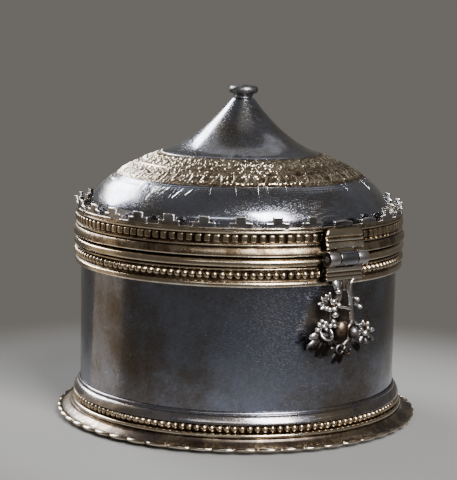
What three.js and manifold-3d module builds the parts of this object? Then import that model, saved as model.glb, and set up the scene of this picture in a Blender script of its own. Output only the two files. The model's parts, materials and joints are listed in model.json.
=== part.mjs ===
// A silver pyx: a round box on a lobed foot, with a hinged ogee lid, a cresting and a hinged foliate hasp.
// Millimetres, +Z up. The origin is the centre of the underside, the hasp faces -Y and the lid hinge +Y.
import * as THREE from 'three';
import { mergeVertices } from 'three/addons/utils/BufferGeometryUtils.js';
import Module from 'manifold-3d';

const wasm = await Module();
wasm.setup();

// Turned work
const SEGMENTS = 30;
const WALL_RADIUS = 48;
const SHEET = 1;
const SEAM = 0.1;
const PARTING_Z = 55;
const PARTING_GAP = 0.3;
const BOX_TOP_Z = PARTING_Z - PARTING_GAP / 2;
const LID_BOTTOM_Z = PARTING_Z + PARTING_GAP / 2;
const LEDGE_Z = 62.3;
const BAND_INNER = WALL_RADIUS + SEAM;
const BODY_BAND_OUTER = 50.3;
const LID_BAND_OUTER = 50.5;

// Mouldings: [radius, z] points, going out along the bottom and up the outside
const FOOT_RADIUS = 55.3;
const FOOT_UNDERSIDE = [[BAND_INNER, 0], [53, 0]];
const FOOT_RIM = [[FOOT_RADIUS, 1.2]];
const FOOT_FLARE = [[53, 1.8], [51.2, 2.6], [50.4, 3.7], [50.4, 4.9]];
const FOOT_BEADS = [[49.3, 5.2], [49.3, 6.3], [49.3, 7.4]];
const FOOT_SHOULDER = [[50, 7.7], [49.3, 9.4], [BAND_INNER, 11]];
const BODY_LOWER = [[BAND_INNER, 46.4], [49.9, 46.7], [50, 48.1]];
const BODY_BEADS = [[49.1, 48.7], [49.1, 50], [49.1, 51.2]];
const BODY_UPPER = [[49.7, 51.5], [49.7, 52], [49.3, 52.3], [50.1, 52.7], [BODY_BAND_OUTER, 53.5],
  [49.9, BOX_TOP_Z], [BAND_INNER, BOX_TOP_Z]];
const LID_LOWER = [[BAND_INNER, LID_BOTTOM_Z], [50.1, LID_BOTTOM_Z], [LID_BAND_OUTER, 55.9],
  [49.8, 57.9], [49.4, 58.2], [49.8, 58.5], [49.8, 59]];
const LID_DENTILS = [[49.1, 59.3], [49.1, 61.4]];
const LID_UPPER = [[49.7, 61.7], [49.7, LEDGE_Z], [BAND_INNER, LEDGE_Z]];

// Ornament along the mouldings
const FOOT_LOBES = 52;
const LOBE_DEPTH = 1;
const LOBE_POINTS = 3;
const BEADS = 144;
const BEAD_RISE = 1;
const DENTILS = 120;
const DENTIL_RISE = 0.7;
const DENTIL_SHARE = 0.66;

// Dome and knob
const DOME_PROFILE = [[45.3, LEDGE_Z], [44.6, 66], [40.8, 70.8], [34.5, 75.4], [27, 78.9], [19.5, 81.6],
  [13, 86], [7.4, 91.4], [3.3, 96.2]];
const DOME_OUTER_STEPS = 9;
const DOME_INNER_STEPS = 4;
const DOME_INNER_SHARE = 0.7;
const DOME_CEILING_Z = 92.2;
const KNOB_PROFILE = [[0, 96.3], [2.8, 96.3], [3, 96.9], [4.1, 97.8], [4.35, 98.9], [3.9, 99.9], [2.6, 100.4],
  [0, 100.5]];
const KNOB_SEGMENTS = 14;

// Cresting: a strip with stepped merlons. Bent ones lean outwards by an angle, worn ones lose their top.
const MERLONS = 30;
const MERLON_PHASE = THREE.MathUtils.degToRad(7.8);
const CREST_INNER = 48.6;
const CREST_OUTER = 49.6;
const CREST_Z = LEDGE_Z + SEAM;
const CREST_TOP_Z = CREST_Z + 0.9;
const MERLON_RADIUS = 48.97;
const MERLON_THICKNESS = 0.55;
const MERLON_WIDTH = 6.5;
const MERLON_SHOULDER = 1.5;
const MERLON_TOP_WIDTH = 3;
const MERLON_HEIGHT = 3.1;
const MERLON_SINK = 0.3;
const BENT_MERLONS = new Map([[12, 14], [13, 9], [17, 6], [26, -5]]);
const WORN_MERLONS = new Set([22, 23, 25]);

// Hinges: the lid's at the back and the hasp's at the front are built alike. Outlines are [out, z] points.
const BACK = 1;
const FRONT = -1;
const HINGE_OUT = 52.9;
const HASP_AXIS_Z = 54.7;
const KNUCKLE_RADIUS = 2.1;
const KNUCKLE_SIDES = 12;
const BORE_RADIUS = 0.95;
const PIN_RADIUS = 0.87;
const BARREL_HALF = 6.8;
const MIDDLE_HALF = 3;
const KNUCKLE_GAP = 0.25;
const PIN_PROUD = 0.3;
const LEAF_HALF = 6.3;
const HASP_GAP = 0.35;
const WEB_TAPER = 0.5;
const UPPER_WEB_REACH = 3.4;
const LOWER_WEB_REACH = 3;
const FLAT_SHARE = Math.cos(Math.PI / SEGMENTS);
const LID_LEAF_BACK = LID_BAND_OUTER * FLAT_SHARE + SEAM;
const BOX_LEAF_BACK = BODY_BAND_OUTER * FLAT_SHARE + SEAM;
const HASP_BACK = BODY_BAND_OUTER + HASP_GAP;
const HASP_PLATE_OUTLINE = [[LID_LEAF_BACK, 57.2], [52.3, 57.2], [52.7, 57.9], [52.5, 58.8], [51.9, 59.2],
  [52.4, 59.6], [52.4, 61.2], [51.8, 62.2], [LID_LEAF_BACK, 62.6]];
const LID_LEAF_OUTLINE = [[LID_LEAF_BACK, 57.4], [52, 57.4], [52, 60.9], [51.5, 61.8], [LID_LEAF_BACK, 61.8]];
const BOX_LEAF_OUTLINE = [[BOX_LEAF_BACK, 48], [51.4, 48], [51.9, 48.8], [51.9, 52.3], [BOX_LEAF_BACK, 52.3]];
const HASP_RIDGES = [[HASP_BACK, 48.2], [52.3, 48.2], [52.5, 49.2], [52.1, 49.7], [52.6, 50.4], [52.6, 51.6],
  [52.2, 52.3], [HASP_BACK, 52.3]];

// Hasp foliage: a stem that parts round an oval opening, three flowers, two side leaves, a berry and a ball
const SHOULDER_TOP_Z = 49;
const SHOULDER_Z = 46.8;
const SHOULDER_FLARE = 1;
const STEM_HALF = 1.9;
const STEM_FOOT_Z = 42;
const STEM_THICKNESS = 1.7;
const STEM_CURVE_STEPS = 3;
const FOLIAGE_OUT = 50.7;
const BRANCH_RADIUS = 0.95;
const BRANCH_SIDES = 4;
const BRANCH_STEPS = 5;
const BRANCHES = [[[-1, 43.4], [-3.2, 40.6], [-3.4, 36.6], [-2, 32], [-0.2, 29.6]],
  [[1, 43.4], [2.8, 40.6], [3.6, 36.6], [2.4, 32], [0.4, 29.6]], [[-3, 40], [0, 40.4], [2.9, 40]]];
const FLOWERS = [{ x: -7.2, z: 32.9, size: 1.2, turn: 200 }, { x: 7.2, z: 33.4, size: 1.02, turn: -20 },
  { x: 0.2, z: 27.8, size: 0.88, turn: 270 }];
const PETALS = 5;
const PETAL = { reach: 2.9, length: 4.8, width: 3.8, depth: 2.6 };
const CUP = { radius: 2.3, flatness: 0.75, proud: 0.5 };
const SIDE_LEAVES = [{ x: -4.6, z: 41, length: 5, width: 3, depth: 2.6, turn: 150 },
  { x: -6.2, z: 40, length: 3.6, width: 2.2, depth: 2, turn: 205 },
  { x: 4.4, z: 40.6, length: 4.4, width: 2.6, depth: 2.4, turn: 40 }];
const BALLS = [{ x: -0.4, z: 35, radius: 2.2 }, { x: 3.1, z: 33.8, radius: 1.8 }];
const BALL_PROUD = 0.2;
const ROUND_SIDES = 6;
const ROUND_RINGS = 3;

function metal(name, color, roughness) {
  return new THREE.MeshStandardMaterial({ name, color, roughness, metalness: 1 });
}

const silver = metal('silver', 0x9a9ba0, 0.3);
const gilt = metal('gilt', 0xa58a5a, 0.38);
const cast = metal('cast', 0xb7a58c, 0.35);
const pin = metal('pin', 0x85868a, 0.4);

const X_AXIS = new THREE.Vector3(1, 0, 0);
const Y_AXIS = new THREE.Vector3(0, 1, 0);
const Z_AXIS = new THREE.Vector3(0, 0, 1);

const pyx = new THREE.Group();

function addPiece(name, geometry, material) {
  const mesh = new THREE.Mesh(geometry, material);
  mesh.name = name;
  pyx.add(mesh);
}

const series = (count, make) => Array.from({ length: count }, (_, k) => make(k));
const shapeOf = (points) => new THREE.Shape(points.map(([x, y]) => new THREE.Vector2(x, y)));

// Solids for joining and cutting
function solidOf(geometry) {
  const bare = geometry.clone();
  bare.deleteAttribute('normal');
  bare.deleteAttribute('uv');
  const merged = mergeVertices(bare);
  const corners = merged.index.array;
  const kept = [];
  for (let k = 0; k < corners.length; k += 3) {
    const [a, b, c] = corners.slice(k, k + 3);
    if (a !== b && b !== c && c !== a) kept.push(a, b, c);
  }
  const vertProperties = new Float32Array(merged.attributes.position.array);
  const triVerts = new Uint32Array(kept);
  return new wasm.Manifold(new wasm.Mesh({ numProp: 3, vertProperties, triVerts }));
}

function geometryOf(solid) {
  const { vertProperties, triVerts } = solid.getMesh();
  const geometry = new THREE.BufferGeometry();
  geometry.setAttribute('position', new THREE.BufferAttribute(vertProperties, 3));
  geometry.setIndex(new THREE.BufferAttribute(triVerts, 1));
  return geometry;
}

function join(pieces, cuts = []) {
  const whole = pieces.map(solidOf).reduce((sum, piece) => sum.add(piece));
  return geometryOf(cuts.map(solidOf).reduce((rest, cut) => rest.subtract(cut), whole));
}

// Turned pieces: a profile of [radius, z] points, going up the outside. Turning starts at +X, as rows do.
function turned(profile, segments = SEGMENTS) {
  const points = profile.map(([radius, z]) => new THREE.Vector2(radius, z));
  return new THREE.LatheGeometry(points, segments).rotateX(Math.PI / 2).rotateZ(Math.PI / 2);
}

// Rows of [turn, radius, z] points, with turn from 0 to 1 round the axis, each at one point of a moulding
const evenRow = (count, pointAt) => series(count, (k) => [k / count, ...pointAt(k)]);
const plainRow = ([radius, z]) => evenRow(SEGMENTS, () => [radius, z]);

// A bead row stands between two rows that run through the valleys of the beads
function beadRows([bottom, middle, top]) {
  const valleys = ([radius, z]) => series(BEADS, (k) => [(k + 0.5) / BEADS, radius, z]);
  const [radius, z] = middle;
  const beads = evenRow(2 * BEADS, (k) => [radius + (k % 2 ? 0 : BEAD_RISE), z]);
  return [valleys(bottom), beads, valleys(top)];
}

function lobedRow([radius, z]) {
  const swell = (k) => Math.sqrt(Math.sin((Math.PI * (k % LOBE_POINTS)) / LOBE_POINTS));
  return evenRow(LOBE_POINTS * FOOT_LOBES, (k) => [radius - LOBE_DEPTH * (1 - swell(k)), z]);
}

function dentilRow([radius, z]) {
  const pitch = 1 / DENTILS;
  const edge = ((1 - DENTIL_SHARE) / 2) * pitch;
  const front = radius + DENTIL_RISE;
  return series(DENTILS, (k) => [[k * pitch, radius, z], [k * pitch + edge, front, z],
    [(k + 1) * pitch - edge, front, z]]).flat();
}

// Triangles between two rows, taking the next edge of whichever row is behind
function zip(lower, lowerStart, upper, upperStart) {
  const turnAt = (row, k) => row[k % row.length][0] + Math.floor(k / row.length);
  const middle = (row, k) => (turnAt(row, k) + turnAt(row, k + 1)) / 2;
  const faces = [];
  let i = 0;
  let j = 0;
  while (i < lower.length || j < upper.length) {
    const low = lowerStart + (i % lower.length);
    const high = upperStart + (j % upper.length);
    const lowerFirst = i < lower.length && middle(lower, i) <= middle(upper, j);
    if (lowerFirst || j >= upper.length) {
      i += 1;
      faces.push(low, lowerStart + (i % lower.length), high);
    } else {
      j += 1;
      faces.push(low, upperStart + (j % upper.length), high);
    }
  }
  return faces;
}

// A closed ring whose cross-section is a loop of rows
function ringOfRows(rows) {
  const positions = [];
  const starts = rows.map((row) => {
    const start = positions.length / 3;
    for (const [turn, radius, z] of row) {
      const angle = 2 * Math.PI * turn;
      positions.push(radius * Math.cos(angle), radius * Math.sin(angle), z);
    }
    return start;
  });
  const faces = rows.flatMap((row, k) => {
    const next = (k + 1) % rows.length;
    return zip(row, starts[k], rows[next], starts[next]);
  });
  const geometry = new THREE.BufferGeometry();
  geometry.setAttribute('position', new THREE.Float32BufferAttribute(positions, 3));
  geometry.setIndex(faces);
  return geometry;
}

// Box
function makeDrum() {
  const inner = WALL_RADIUS - SHEET;
  return turned([[0, 0], [WALL_RADIUS, 0], [WALL_RADIUS, BOX_TOP_Z], [inner, BOX_TOP_Z], [inner, SHEET],
    [0, SHEET]]);
}

function makeFootRing() {
  return ringOfRows([...FOOT_UNDERSIDE.map(plainRow), ...FOOT_RIM.map(lobedRow), ...FOOT_FLARE.map(plainRow),
    ...beadRows(FOOT_BEADS), ...FOOT_SHOULDER.map(plainRow)]);
}

function makeBodyBand() {
  return ringOfRows([...BODY_LOWER.map(plainRow), ...beadRows(BODY_BEADS), ...BODY_UPPER.map(plainRow)]);
}

// Lid: a skirt, a flat ledge and the ogee dome, one sheet thick
function makeLidDome() {
  const curve = new THREE.SplineCurve(DOME_PROFILE.map(([radius, z]) => new THREE.Vector2(radius, z)));
  const outside = curve.getPoints(DOME_OUTER_STEPS).map((point) => [point.x, point.y]);
  const inside = series(DOME_INNER_STEPS, (k) => {
    const share = (DOME_INNER_SHARE * (DOME_INNER_STEPS - k)) / DOME_INNER_STEPS;
    const point = curve.getPoint(share);
    const along = curve.getTangent(share);
    return [point.x - SHEET * along.y, point.y + SHEET * along.x];
  });
  const skirtInner = WALL_RADIUS - SHEET;
  const ceiling = LEDGE_Z - SHEET;
  const tip = [0, outside.at(-1)[1]];
  return turned([[0, DOME_CEILING_Z], ...inside, [outside[0][0] - SHEET, ceiling], [skirtInner, ceiling],
    [skirtInner, LID_BOTTOM_Z], [WALL_RADIUS, LID_BOTTOM_Z], [WALL_RADIUS, LEDGE_Z], ...outside, tip]);
}

function makeLidBand() {
  return ringOfRows([...LID_LOWER.map(plainRow), ...LID_DENTILS.map(dentilRow), ...LID_UPPER.map(plainRow)]);
}

// The stepped outline of one merlon, seen from outside
function merlonShape(worn) {
  const half = MERLON_WIDTH / 2;
  const topHalf = MERLON_TOP_WIDTH / 2;
  const upperStep = [[topHalf, MERLON_SHOULDER], [topHalf, MERLON_HEIGHT], [-topHalf, MERLON_HEIGHT],
    [-topHalf, MERLON_SHOULDER]];
  return shapeOf([[-half, -MERLON_SINK], [half, -MERLON_SINK], [half, MERLON_SHOULDER],
    ...(worn ? [] : upperStep), [-half, MERLON_SHOULDER]]);
}

function makeMerlon(index) {
  const shape = merlonShape(WORN_MERLONS.has(index));
  const slab = new THREE.ExtrudeGeometry(shape, { depth: MERLON_THICKNESS, bevelEnabled: false });
  slab.translate(0, 0, -MERLON_THICKNESS / 2).rotateX(Math.PI / 2).rotateZ(Math.PI / 2);
  slab.rotateY(THREE.MathUtils.degToRad(BENT_MERLONS.get(index) ?? 0));
  slab.translate(MERLON_RADIUS, 0, CREST_TOP_Z);
  return slab.rotateZ(MERLON_PHASE + (2 * Math.PI * index) / MERLONS);
}

function makeCresting() {
  const strip = turned([[CREST_INNER, CREST_Z], [CREST_OUTER, CREST_Z], [CREST_OUTER, CREST_TOP_Z],
    [CREST_INNER, CREST_TOP_Z], [CREST_INNER, CREST_Z]]);
  return join([strip, ...series(MERLONS, makeMerlon)]);
}

// Hinge pieces run along X, on the BACK or the FRONT side
function rod(radius, from, to, side, z) {
  const cylinder = new THREE.CylinderGeometry(radius, radius, to - from, KNUCKLE_SIDES).rotateZ(Math.PI / 2);
  return cylinder.translate((from + to) / 2, side * HINGE_OUT, z);
}

// A bar along X whose side view is an outline of [out, z] points
function bar(outline, from, to, side) {
  const shape = shapeOf(outline.map(([out, z]) => [side * out, z]));
  const solid = new THREE.ExtrudeGeometry(shape, { depth: to - from, bevelEnabled: false });
  solid.applyMatrix4(new THREE.Matrix4().makeBasis(Y_AXIS, Z_AXIS, X_AXIS));
  return solid.translate(from, 0, 0);
}

const bore = (side, z) => rod(BORE_RADIUS, -2 * BARREL_HALF, 2 * BARREL_HALF, side, z);
const makePin = (side, z) => rod(PIN_RADIUS, -BARREL_HALF - PIN_PROUD, BARREL_HALF + PIN_PROUD, side, z);

// A web from a leaf's back to its knuckle
function web(back, z, reach) {
  return [[back, z], [HINGE_OUT, z], [HINGE_OUT - WEB_TAPER, z + reach], [back, z + reach]];
}

// The leaf above the parting line, with the middle knuckle
function upperLeaf(side, z, outline) {
  return join([bar(outline, -LEAF_HALF, LEAF_HALF, side),
    bar(web(LID_LEAF_BACK, z, UPPER_WEB_REACH), -MIDDLE_HALF, MIDDLE_HALF, side),
    rod(KNUCKLE_RADIUS, -MIDDLE_HALF, MIDDLE_HALF, side, z)], [bore(side, z)]);
}

// The two outer knuckles below the parting line, with the webs that carry them
function outerKnuckles(side, z, back) {
  const start = MIDDLE_HALF + KNUCKLE_GAP;
  return [[start, BARREL_HALF], [-BARREL_HALF, -start]].flatMap(([from, to]) => [
    rod(KNUCKLE_RADIUS, from, to, side, z),
    bar(web(back, z, -LOWER_WEB_REACH), Math.max(from, -LEAF_HALF), Math.min(to, LEAF_HALF), side)]);
}

function makeBoxLeaf() {
  const plate = bar(BOX_LEAF_OUTLINE, -LEAF_HALF, LEAF_HALF, BACK);
  return join([plate, ...outerKnuckles(BACK, PARTING_Z, BOX_LEAF_BACK)], [bore(BACK, PARTING_Z)]);
}

// The hasp's flat shoulders and stem, seen from the front
function haspBlade() {
  const shape = new THREE.Shape();
  shape.moveTo(-LEAF_HALF, SHOULDER_TOP_Z);
  shape.quadraticCurveTo(-LEAF_HALF, SHOULDER_Z, -STEM_HALF - SHOULDER_FLARE, SHOULDER_Z);
  shape.quadraticCurveTo(-STEM_HALF, SHOULDER_Z, -STEM_HALF, STEM_FOOT_Z);
  shape.lineTo(STEM_HALF, STEM_FOOT_Z);
  shape.quadraticCurveTo(STEM_HALF, SHOULDER_Z, STEM_HALF + SHOULDER_FLARE, SHOULDER_Z);
  shape.quadraticCurveTo(LEAF_HALF, SHOULDER_Z, LEAF_HALF, SHOULDER_TOP_Z);
  const options = { depth: STEM_THICKNESS, bevelEnabled: false, curveSegments: STEM_CURVE_STEPS };
  const solid = new THREE.ExtrudeGeometry(shape, options);
  solid.applyMatrix4(new THREE.Matrix4().makeBasis(X_AXIS, Z_AXIS, Y_AXIS.clone().negate()));
  return solid.translate(0, -HASP_BACK, 0);
}

function branch(points) {
  const places = points.map(([x, z]) => new THREE.Vector3(x, -FOLIAGE_OUT, z));
  const extrudePath = new THREE.CatmullRomCurve3(places);
  const section = shapeOf(series(BRANCH_SIDES, (k) => {
    const angle = (2 * Math.PI * k) / BRANCH_SIDES;
    return [BRANCH_RADIUS * Math.cos(angle), BRANCH_RADIUS * Math.sin(angle)];
  }));
  return new THREE.ExtrudeGeometry(section, { steps: BRANCH_STEPS, extrudePath });
}

// A pointed leaf or petal, turned by `turn` degrees from +X towards +Z
function leaf({ x, z, length, width, depth, turn }) {
  const solid = new THREE.OctahedronGeometry(1).scale(length / 2, depth / 2, width / 2);
  return solid.rotateY(-THREE.MathUtils.degToRad(turn)).translate(x, -FOLIAGE_OUT, z);
}

function flower({ x, z, size, turn }) {
  const petals = series(PETALS, (k) => {
    const petalTurn = turn + (360 / PETALS) * (k + 0.5);
    const angle = THREE.MathUtils.degToRad(petalTurn);
    const reach = PETAL.reach * size;
    return leaf({ x: x + reach * Math.cos(angle), z: z + reach * Math.sin(angle), length: PETAL.length * size,
      width: PETAL.width * size, depth: PETAL.depth, turn: petalTurn });
  });
  const cup = new THREE.SphereGeometry(CUP.radius * size, ROUND_SIDES, ROUND_RINGS).scale(1, CUP.flatness, 1);
  return [...petals, cup.translate(x, -FOLIAGE_OUT - CUP.proud, z)];
}

function ball({ x, z, radius }) {
  const sphere = new THREE.SphereGeometry(radius, ROUND_SIDES, ROUND_RINGS);
  return sphere.translate(x, -FOLIAGE_OUT - BALL_PROUD, z);
}

function makeHasp() {
  const plate = bar(HASP_RIDGES, -LEAF_HALF, LEAF_HALF, FRONT);
  const foliage = [...BRANCHES.map(branch), ...SIDE_LEAVES.map(leaf), ...FLOWERS.flatMap(flower),
    ...BALLS.map(ball)];
  const pieces = [plate, ...outerKnuckles(FRONT, HASP_AXIS_Z, HASP_BACK), haspBlade(), ...foliage];
  return join(pieces, [bore(FRONT, HASP_AXIS_Z)]);
}

addPiece('drum', makeDrum(), silver);
addPiece('foot_ring', makeFootRing(), gilt);
addPiece('body_band', makeBodyBand(), gilt);
addPiece('lid_dome', makeLidDome(), silver);
addPiece('lid_band', makeLidBand(), gilt);
addPiece('cresting', makeCresting(), gilt);
addPiece('knob', turned(KNOB_PROFILE, KNOB_SEGMENTS), silver);
addPiece('hasp_plate', upperLeaf(FRONT, HASP_AXIS_Z, HASP_PLATE_OUTLINE), gilt);
addPiece('hasp', makeHasp(), cast);
addPiece('hasp_pin', makePin(FRONT, HASP_AXIS_Z), pin);
addPiece('lid_leaf', upperLeaf(BACK, PARTING_Z, LID_LEAF_OUTLINE), gilt);
addPiece('box_leaf', makeBoxLeaf(), gilt);
addPiece('hinge_pin', makePin(BACK, PARTING_Z), pin);

export default pyx;
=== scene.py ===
import json
import math

import bmesh
import bpy
import numpy as np
from mathutils import Matrix, Vector


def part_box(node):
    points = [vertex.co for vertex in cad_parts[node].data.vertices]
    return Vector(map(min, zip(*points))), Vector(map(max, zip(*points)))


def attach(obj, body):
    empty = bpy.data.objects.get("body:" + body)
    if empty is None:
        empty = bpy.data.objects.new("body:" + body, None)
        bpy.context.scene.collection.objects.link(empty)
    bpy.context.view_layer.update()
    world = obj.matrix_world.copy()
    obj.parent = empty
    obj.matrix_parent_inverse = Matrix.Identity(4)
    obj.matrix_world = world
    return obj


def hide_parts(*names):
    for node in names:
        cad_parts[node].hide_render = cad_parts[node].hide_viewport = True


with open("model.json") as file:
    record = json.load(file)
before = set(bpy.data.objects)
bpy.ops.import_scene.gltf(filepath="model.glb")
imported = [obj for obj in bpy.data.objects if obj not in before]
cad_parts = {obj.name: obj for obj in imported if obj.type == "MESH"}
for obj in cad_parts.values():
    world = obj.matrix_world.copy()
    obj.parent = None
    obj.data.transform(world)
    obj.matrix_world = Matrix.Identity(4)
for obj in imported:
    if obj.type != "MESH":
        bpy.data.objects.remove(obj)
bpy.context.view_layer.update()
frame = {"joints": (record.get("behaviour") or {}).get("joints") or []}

MM = 0.001
TAU = 2 * math.pi


def box_mm(node):
    """Lowest and highest corner of a CAD node, in millimetres."""
    low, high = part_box(node)
    return np.array(low) / MM, np.array(high) / MM


# Driving sizes from the frame
WALL = box_mm("drum")[1][0]
BOX_TOP = box_mm("drum")[1][2]
LID_BOTTOM = box_mm("lid_band")[0][2]
LEDGE = box_mm("lid_band")[1][2]
CREST_Z = box_mm("cresting")[0][2]
KNOB_TOP = box_mm("knob")[1][2]
BAND_INNER = WALL + 0.1
SHEET = 1.0
SHEET_INNER = WALL - SHEET
LID_AXIS_Z, HASP_AXIS_Z = (1000 * joint["pos_m"][2] for joint in frame["joints"])
HINGE_OUT = 1000 * frame["joints"][0]["pos_m"][1]

# Dome profile, [radius, z]
DOME = [(45.3, LEDGE), (44.6, 66), (40.8, 70.8), (34.5, 75.4), (27, 78.9), (19.5, 81.6), (13, 86),
        (7.4, 91.4), (3.3, 96.2)]
DOME_FOOT = DOME[0][0]
DOME_TIP = DOME[-1][0]

LEAN_MM = 0.6
LEAN_START_Z = 76
LEAN_DIRECTION = (0.82, -0.57)

SHEET_WEAR = 0.4
SPLINE_STEPS = 40
PROMINENCE_ROWS = 4
PROMINENCE_COLUMNS = 6

random = np.random.default_rng(7)


# Mesh building

class Mesh:
    """Points in millimetres, faces and the point values that the materials read."""

    def __init__(self, points, faces, wear_and_painted_light=0.5, gilding=0.0):
        self.points = np.asarray(points, float).reshape(-1, 3)
        self.faces = [tuple(int(i) for i in face) for face in faces]
        size = (len(self.points),)
        self.wear_and_painted_light = np.array(np.broadcast_to(np.ravel(wear_and_painted_light), size), float)
        self.gilding = np.array(np.broadcast_to(np.ravel(gilding), size), float)

    def moved(self, matrix):
        """A copy moved by a 4x4 matrix."""
        m = np.array(matrix)
        return Mesh(self.points @ m[:3, :3].T + m[:3, 3], self.faces, self.wear_and_painted_light, self.gilding)


def spin(angle, axis):
    return Matrix.Rotation(angle, 4, axis)


def joined(meshes):
    starts = np.cumsum([0] + [len(m.points) for m in meshes[:-1]])
    faces = [tuple(i + start for i in face) for m, start in zip(meshes, starts) for face in m.faces]
    return Mesh(np.vstack([m.points for m in meshes]), faces, np.concatenate([m.wear_and_painted_light for m in meshes]),
                np.concatenate([m.gilding for m in meshes]))


def grid_faces(rows, columns, loop_rows=False):
    """Quads over a grid of points that is looped round its columns."""
    row, column = np.mgrid[:rows - (not loop_rows), :columns]
    low, high = row * columns, (row + 1) % rows * columns
    beside = (column + 1) % columns
    return np.stack([low + column, low + beside, high + beside, high + column], -1).reshape(-1, 4)


def capped(rings, flip):
    """A closed body of rings of points, with a face over each end."""
    rows, sides = rings.shape[:2]
    first = tuple(range(sides))
    last = tuple(range((rows - 1) * sides, rows * sides))
    ends = [first, last[::-1]] if flip else [first[::-1], last]
    return Mesh(rings, [*grid_faces(rows, sides), *ends])


def bow(start, end, bulge, steps):
    """Points on an arc-like curve that swells by `bulge` to the right of its direction."""
    start, end = np.array(start, float), np.array(end, float)
    t = np.linspace(0, 1, steps + 1)[:, None]
    along = end - start
    right = np.array([along[1], -along[0]]) / np.linalg.norm(along)
    return start + along * t + right * bulge * np.sqrt(np.clip(1 - (2 * t - 1) ** 2, 0, 1))


def rise(radius, low, high, steps):
    """Evenly spaced points straight up at one radius."""
    return np.column_stack([np.full(steps + 1, radius), np.linspace(low, high, steps + 1)])


def path(*stretches):
    """One profile of several stretches of [radius, z] points."""
    return np.vstack([np.atleast_2d(np.array(s, float)) for s in stretches])


def arc_lengths(points):
    """The distance along a line of points to each of them."""
    return np.concatenate([[0], np.cumsum(np.linalg.norm(np.diff(points, axis=0), axis=1))])


def even_steps(points, steps):
    """Places at even distances along a line of points."""
    length = arc_lengths(points)
    even = np.linspace(0, length[-1], steps + 1)
    return np.column_stack([np.interp(even, length, column) for column in points.T])


def spline(points, steps):
    """Even steps along a smooth curve through the points."""
    points = np.array(points, float)
    ends = np.vstack([2 * points[0] - points[1], points, 2 * points[-1] - points[-2]])
    t = np.linspace(0, 1, SPLINE_STEPS, endpoint=False)[:, None]
    curve = [b + 0.5 * t * (c - a + t * (2 * a - 5 * b + 4 * c - d + t * (3 * (b - c) + d - a)))
             for a, b, c, d in zip(ends, ends[1:], ends[2:], ends[3:])]
    return even_steps(np.vstack(curve + [points[-1:]]), steps)


def profile_normals(profile, closed=False):
    """Unit normals of a profile, outwards where it runs anticlockwise."""
    if closed:
        around = np.vstack([profile[-1:], profile, profile[:1]])
    else:
        around = np.pad(profile, ((1, 1), (0, 0)), "edge")
    along = around[2:] - around[:-2]
    along /= np.maximum(np.linalg.norm(along, axis=1, keepdims=True), 1e-9)
    return np.column_stack([along[:, 1], -along[:, 0]])


def turned(profile, columns, relief=None, closed=False, widen=None):
    """A turned body, with the grids of its radii and of its profile's heights.

    relief(angle, radius, z) moves points along the normal, widen(angle, radius) away from the axis.
    """
    profile = np.asarray(profile, float)
    radius, z = (np.repeat(profile[:, k:k + 1], columns, 1) for k in (0, 1))
    turn = np.tile(np.arange(columns) / columns * TAU, (len(profile), 1))
    height = z
    if relief is not None:
        normal = profile_normals(profile, closed)
        out = relief(turn, radius, z)
        wider = 0 if widen is None else widen(turn, radius)
        radius = radius + wider + out * normal[:, :1]
        height = z + out * normal[:, 1:]
    points = np.stack([radius * np.cos(turn), radius * np.sin(turn), height], -1)
    return Mesh(points, grid_faces(len(profile), columns, closed)), radius, z


def rounded(profile, place, columns, closed=False):
    """A small turned body, put in its place by a 4x4 matrix."""
    return turned(profile, columns, closed=closed)[0].moved(place)


def blurred(values, reach, axis):
    """A running mean over 2 * reach + 1 neighbours, round a looped grid."""
    return sum(np.roll(values, k, axis) for k in range(-reach, reach + 1)) / (2 * reach + 1)


def prominence(radius, scale):
    """Wear by how far a point stands out, from 0 in a recess to 1 on a crest."""
    smooth = blurred(blurred(radius, PROMINENCE_ROWS, 0), PROMINENCE_COLUMNS, 1)
    return np.clip(0.5 + (radius - smooth) / scale, 0, 1)


def loft(spine, half_widths, half_depths, sides, across=None):
    """A closed body of elliptic rings along a spine, wide in the direction `across`."""
    spine = np.asarray(spine, float)
    along = np.gradient(spine, axis=0)
    along /= np.linalg.norm(along, axis=1, keepdims=True)
    if across is None:
        wide = np.cross(along, (0, -1, 0))
    else:
        wide = np.asarray(across, float)
    wide = wide - along * np.sum(wide * along, 1, keepdims=True)
    wide /= np.maximum(np.linalg.norm(wide, axis=1, keepdims=True), 1e-9)
    deep = np.cross(along, wide)
    turn = (np.arange(sides) / sides * TAU)[None, :, None]
    widths, depths = (np.reshape(half, (-1, 1, 1)) for half in (half_widths, half_depths))
    rings = spine[:, None] + wide[:, None] * np.cos(turn) * widths + deep[:, None] * np.sin(turn) * depths
    return capped(rings, False)


def bar(outline, stations, side, change=None):
    """A body along X whose side view is an outline of [out, z] points, altered by change(x, outline)."""
    rings = []
    for x in stations:
        section = np.array(outline, float)
        if change is not None:
            section = change(x, section)
        rings.append(np.column_stack([np.full(len(section), x), side * section[:, 0], section[:, 1]]))
    return capped(np.array(rings), True)


def leaning(mesh):
    """The lid's tip stands a little to one side, as old raised work does."""
    share = np.clip((mesh.points[:, 2] - LEAN_START_Z) / (KNOB_TOP - LEAN_START_Z), 0, 1)
    mesh.points[:, :2] += LEAN_MM * share[:, None] * np.array(LEAN_DIRECTION)
    return mesh


def link_object(name, data):
    made = bpy.data.objects.new(name, data)
    bpy.context.scene.collection.objects.link(made)
    return made


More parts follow.
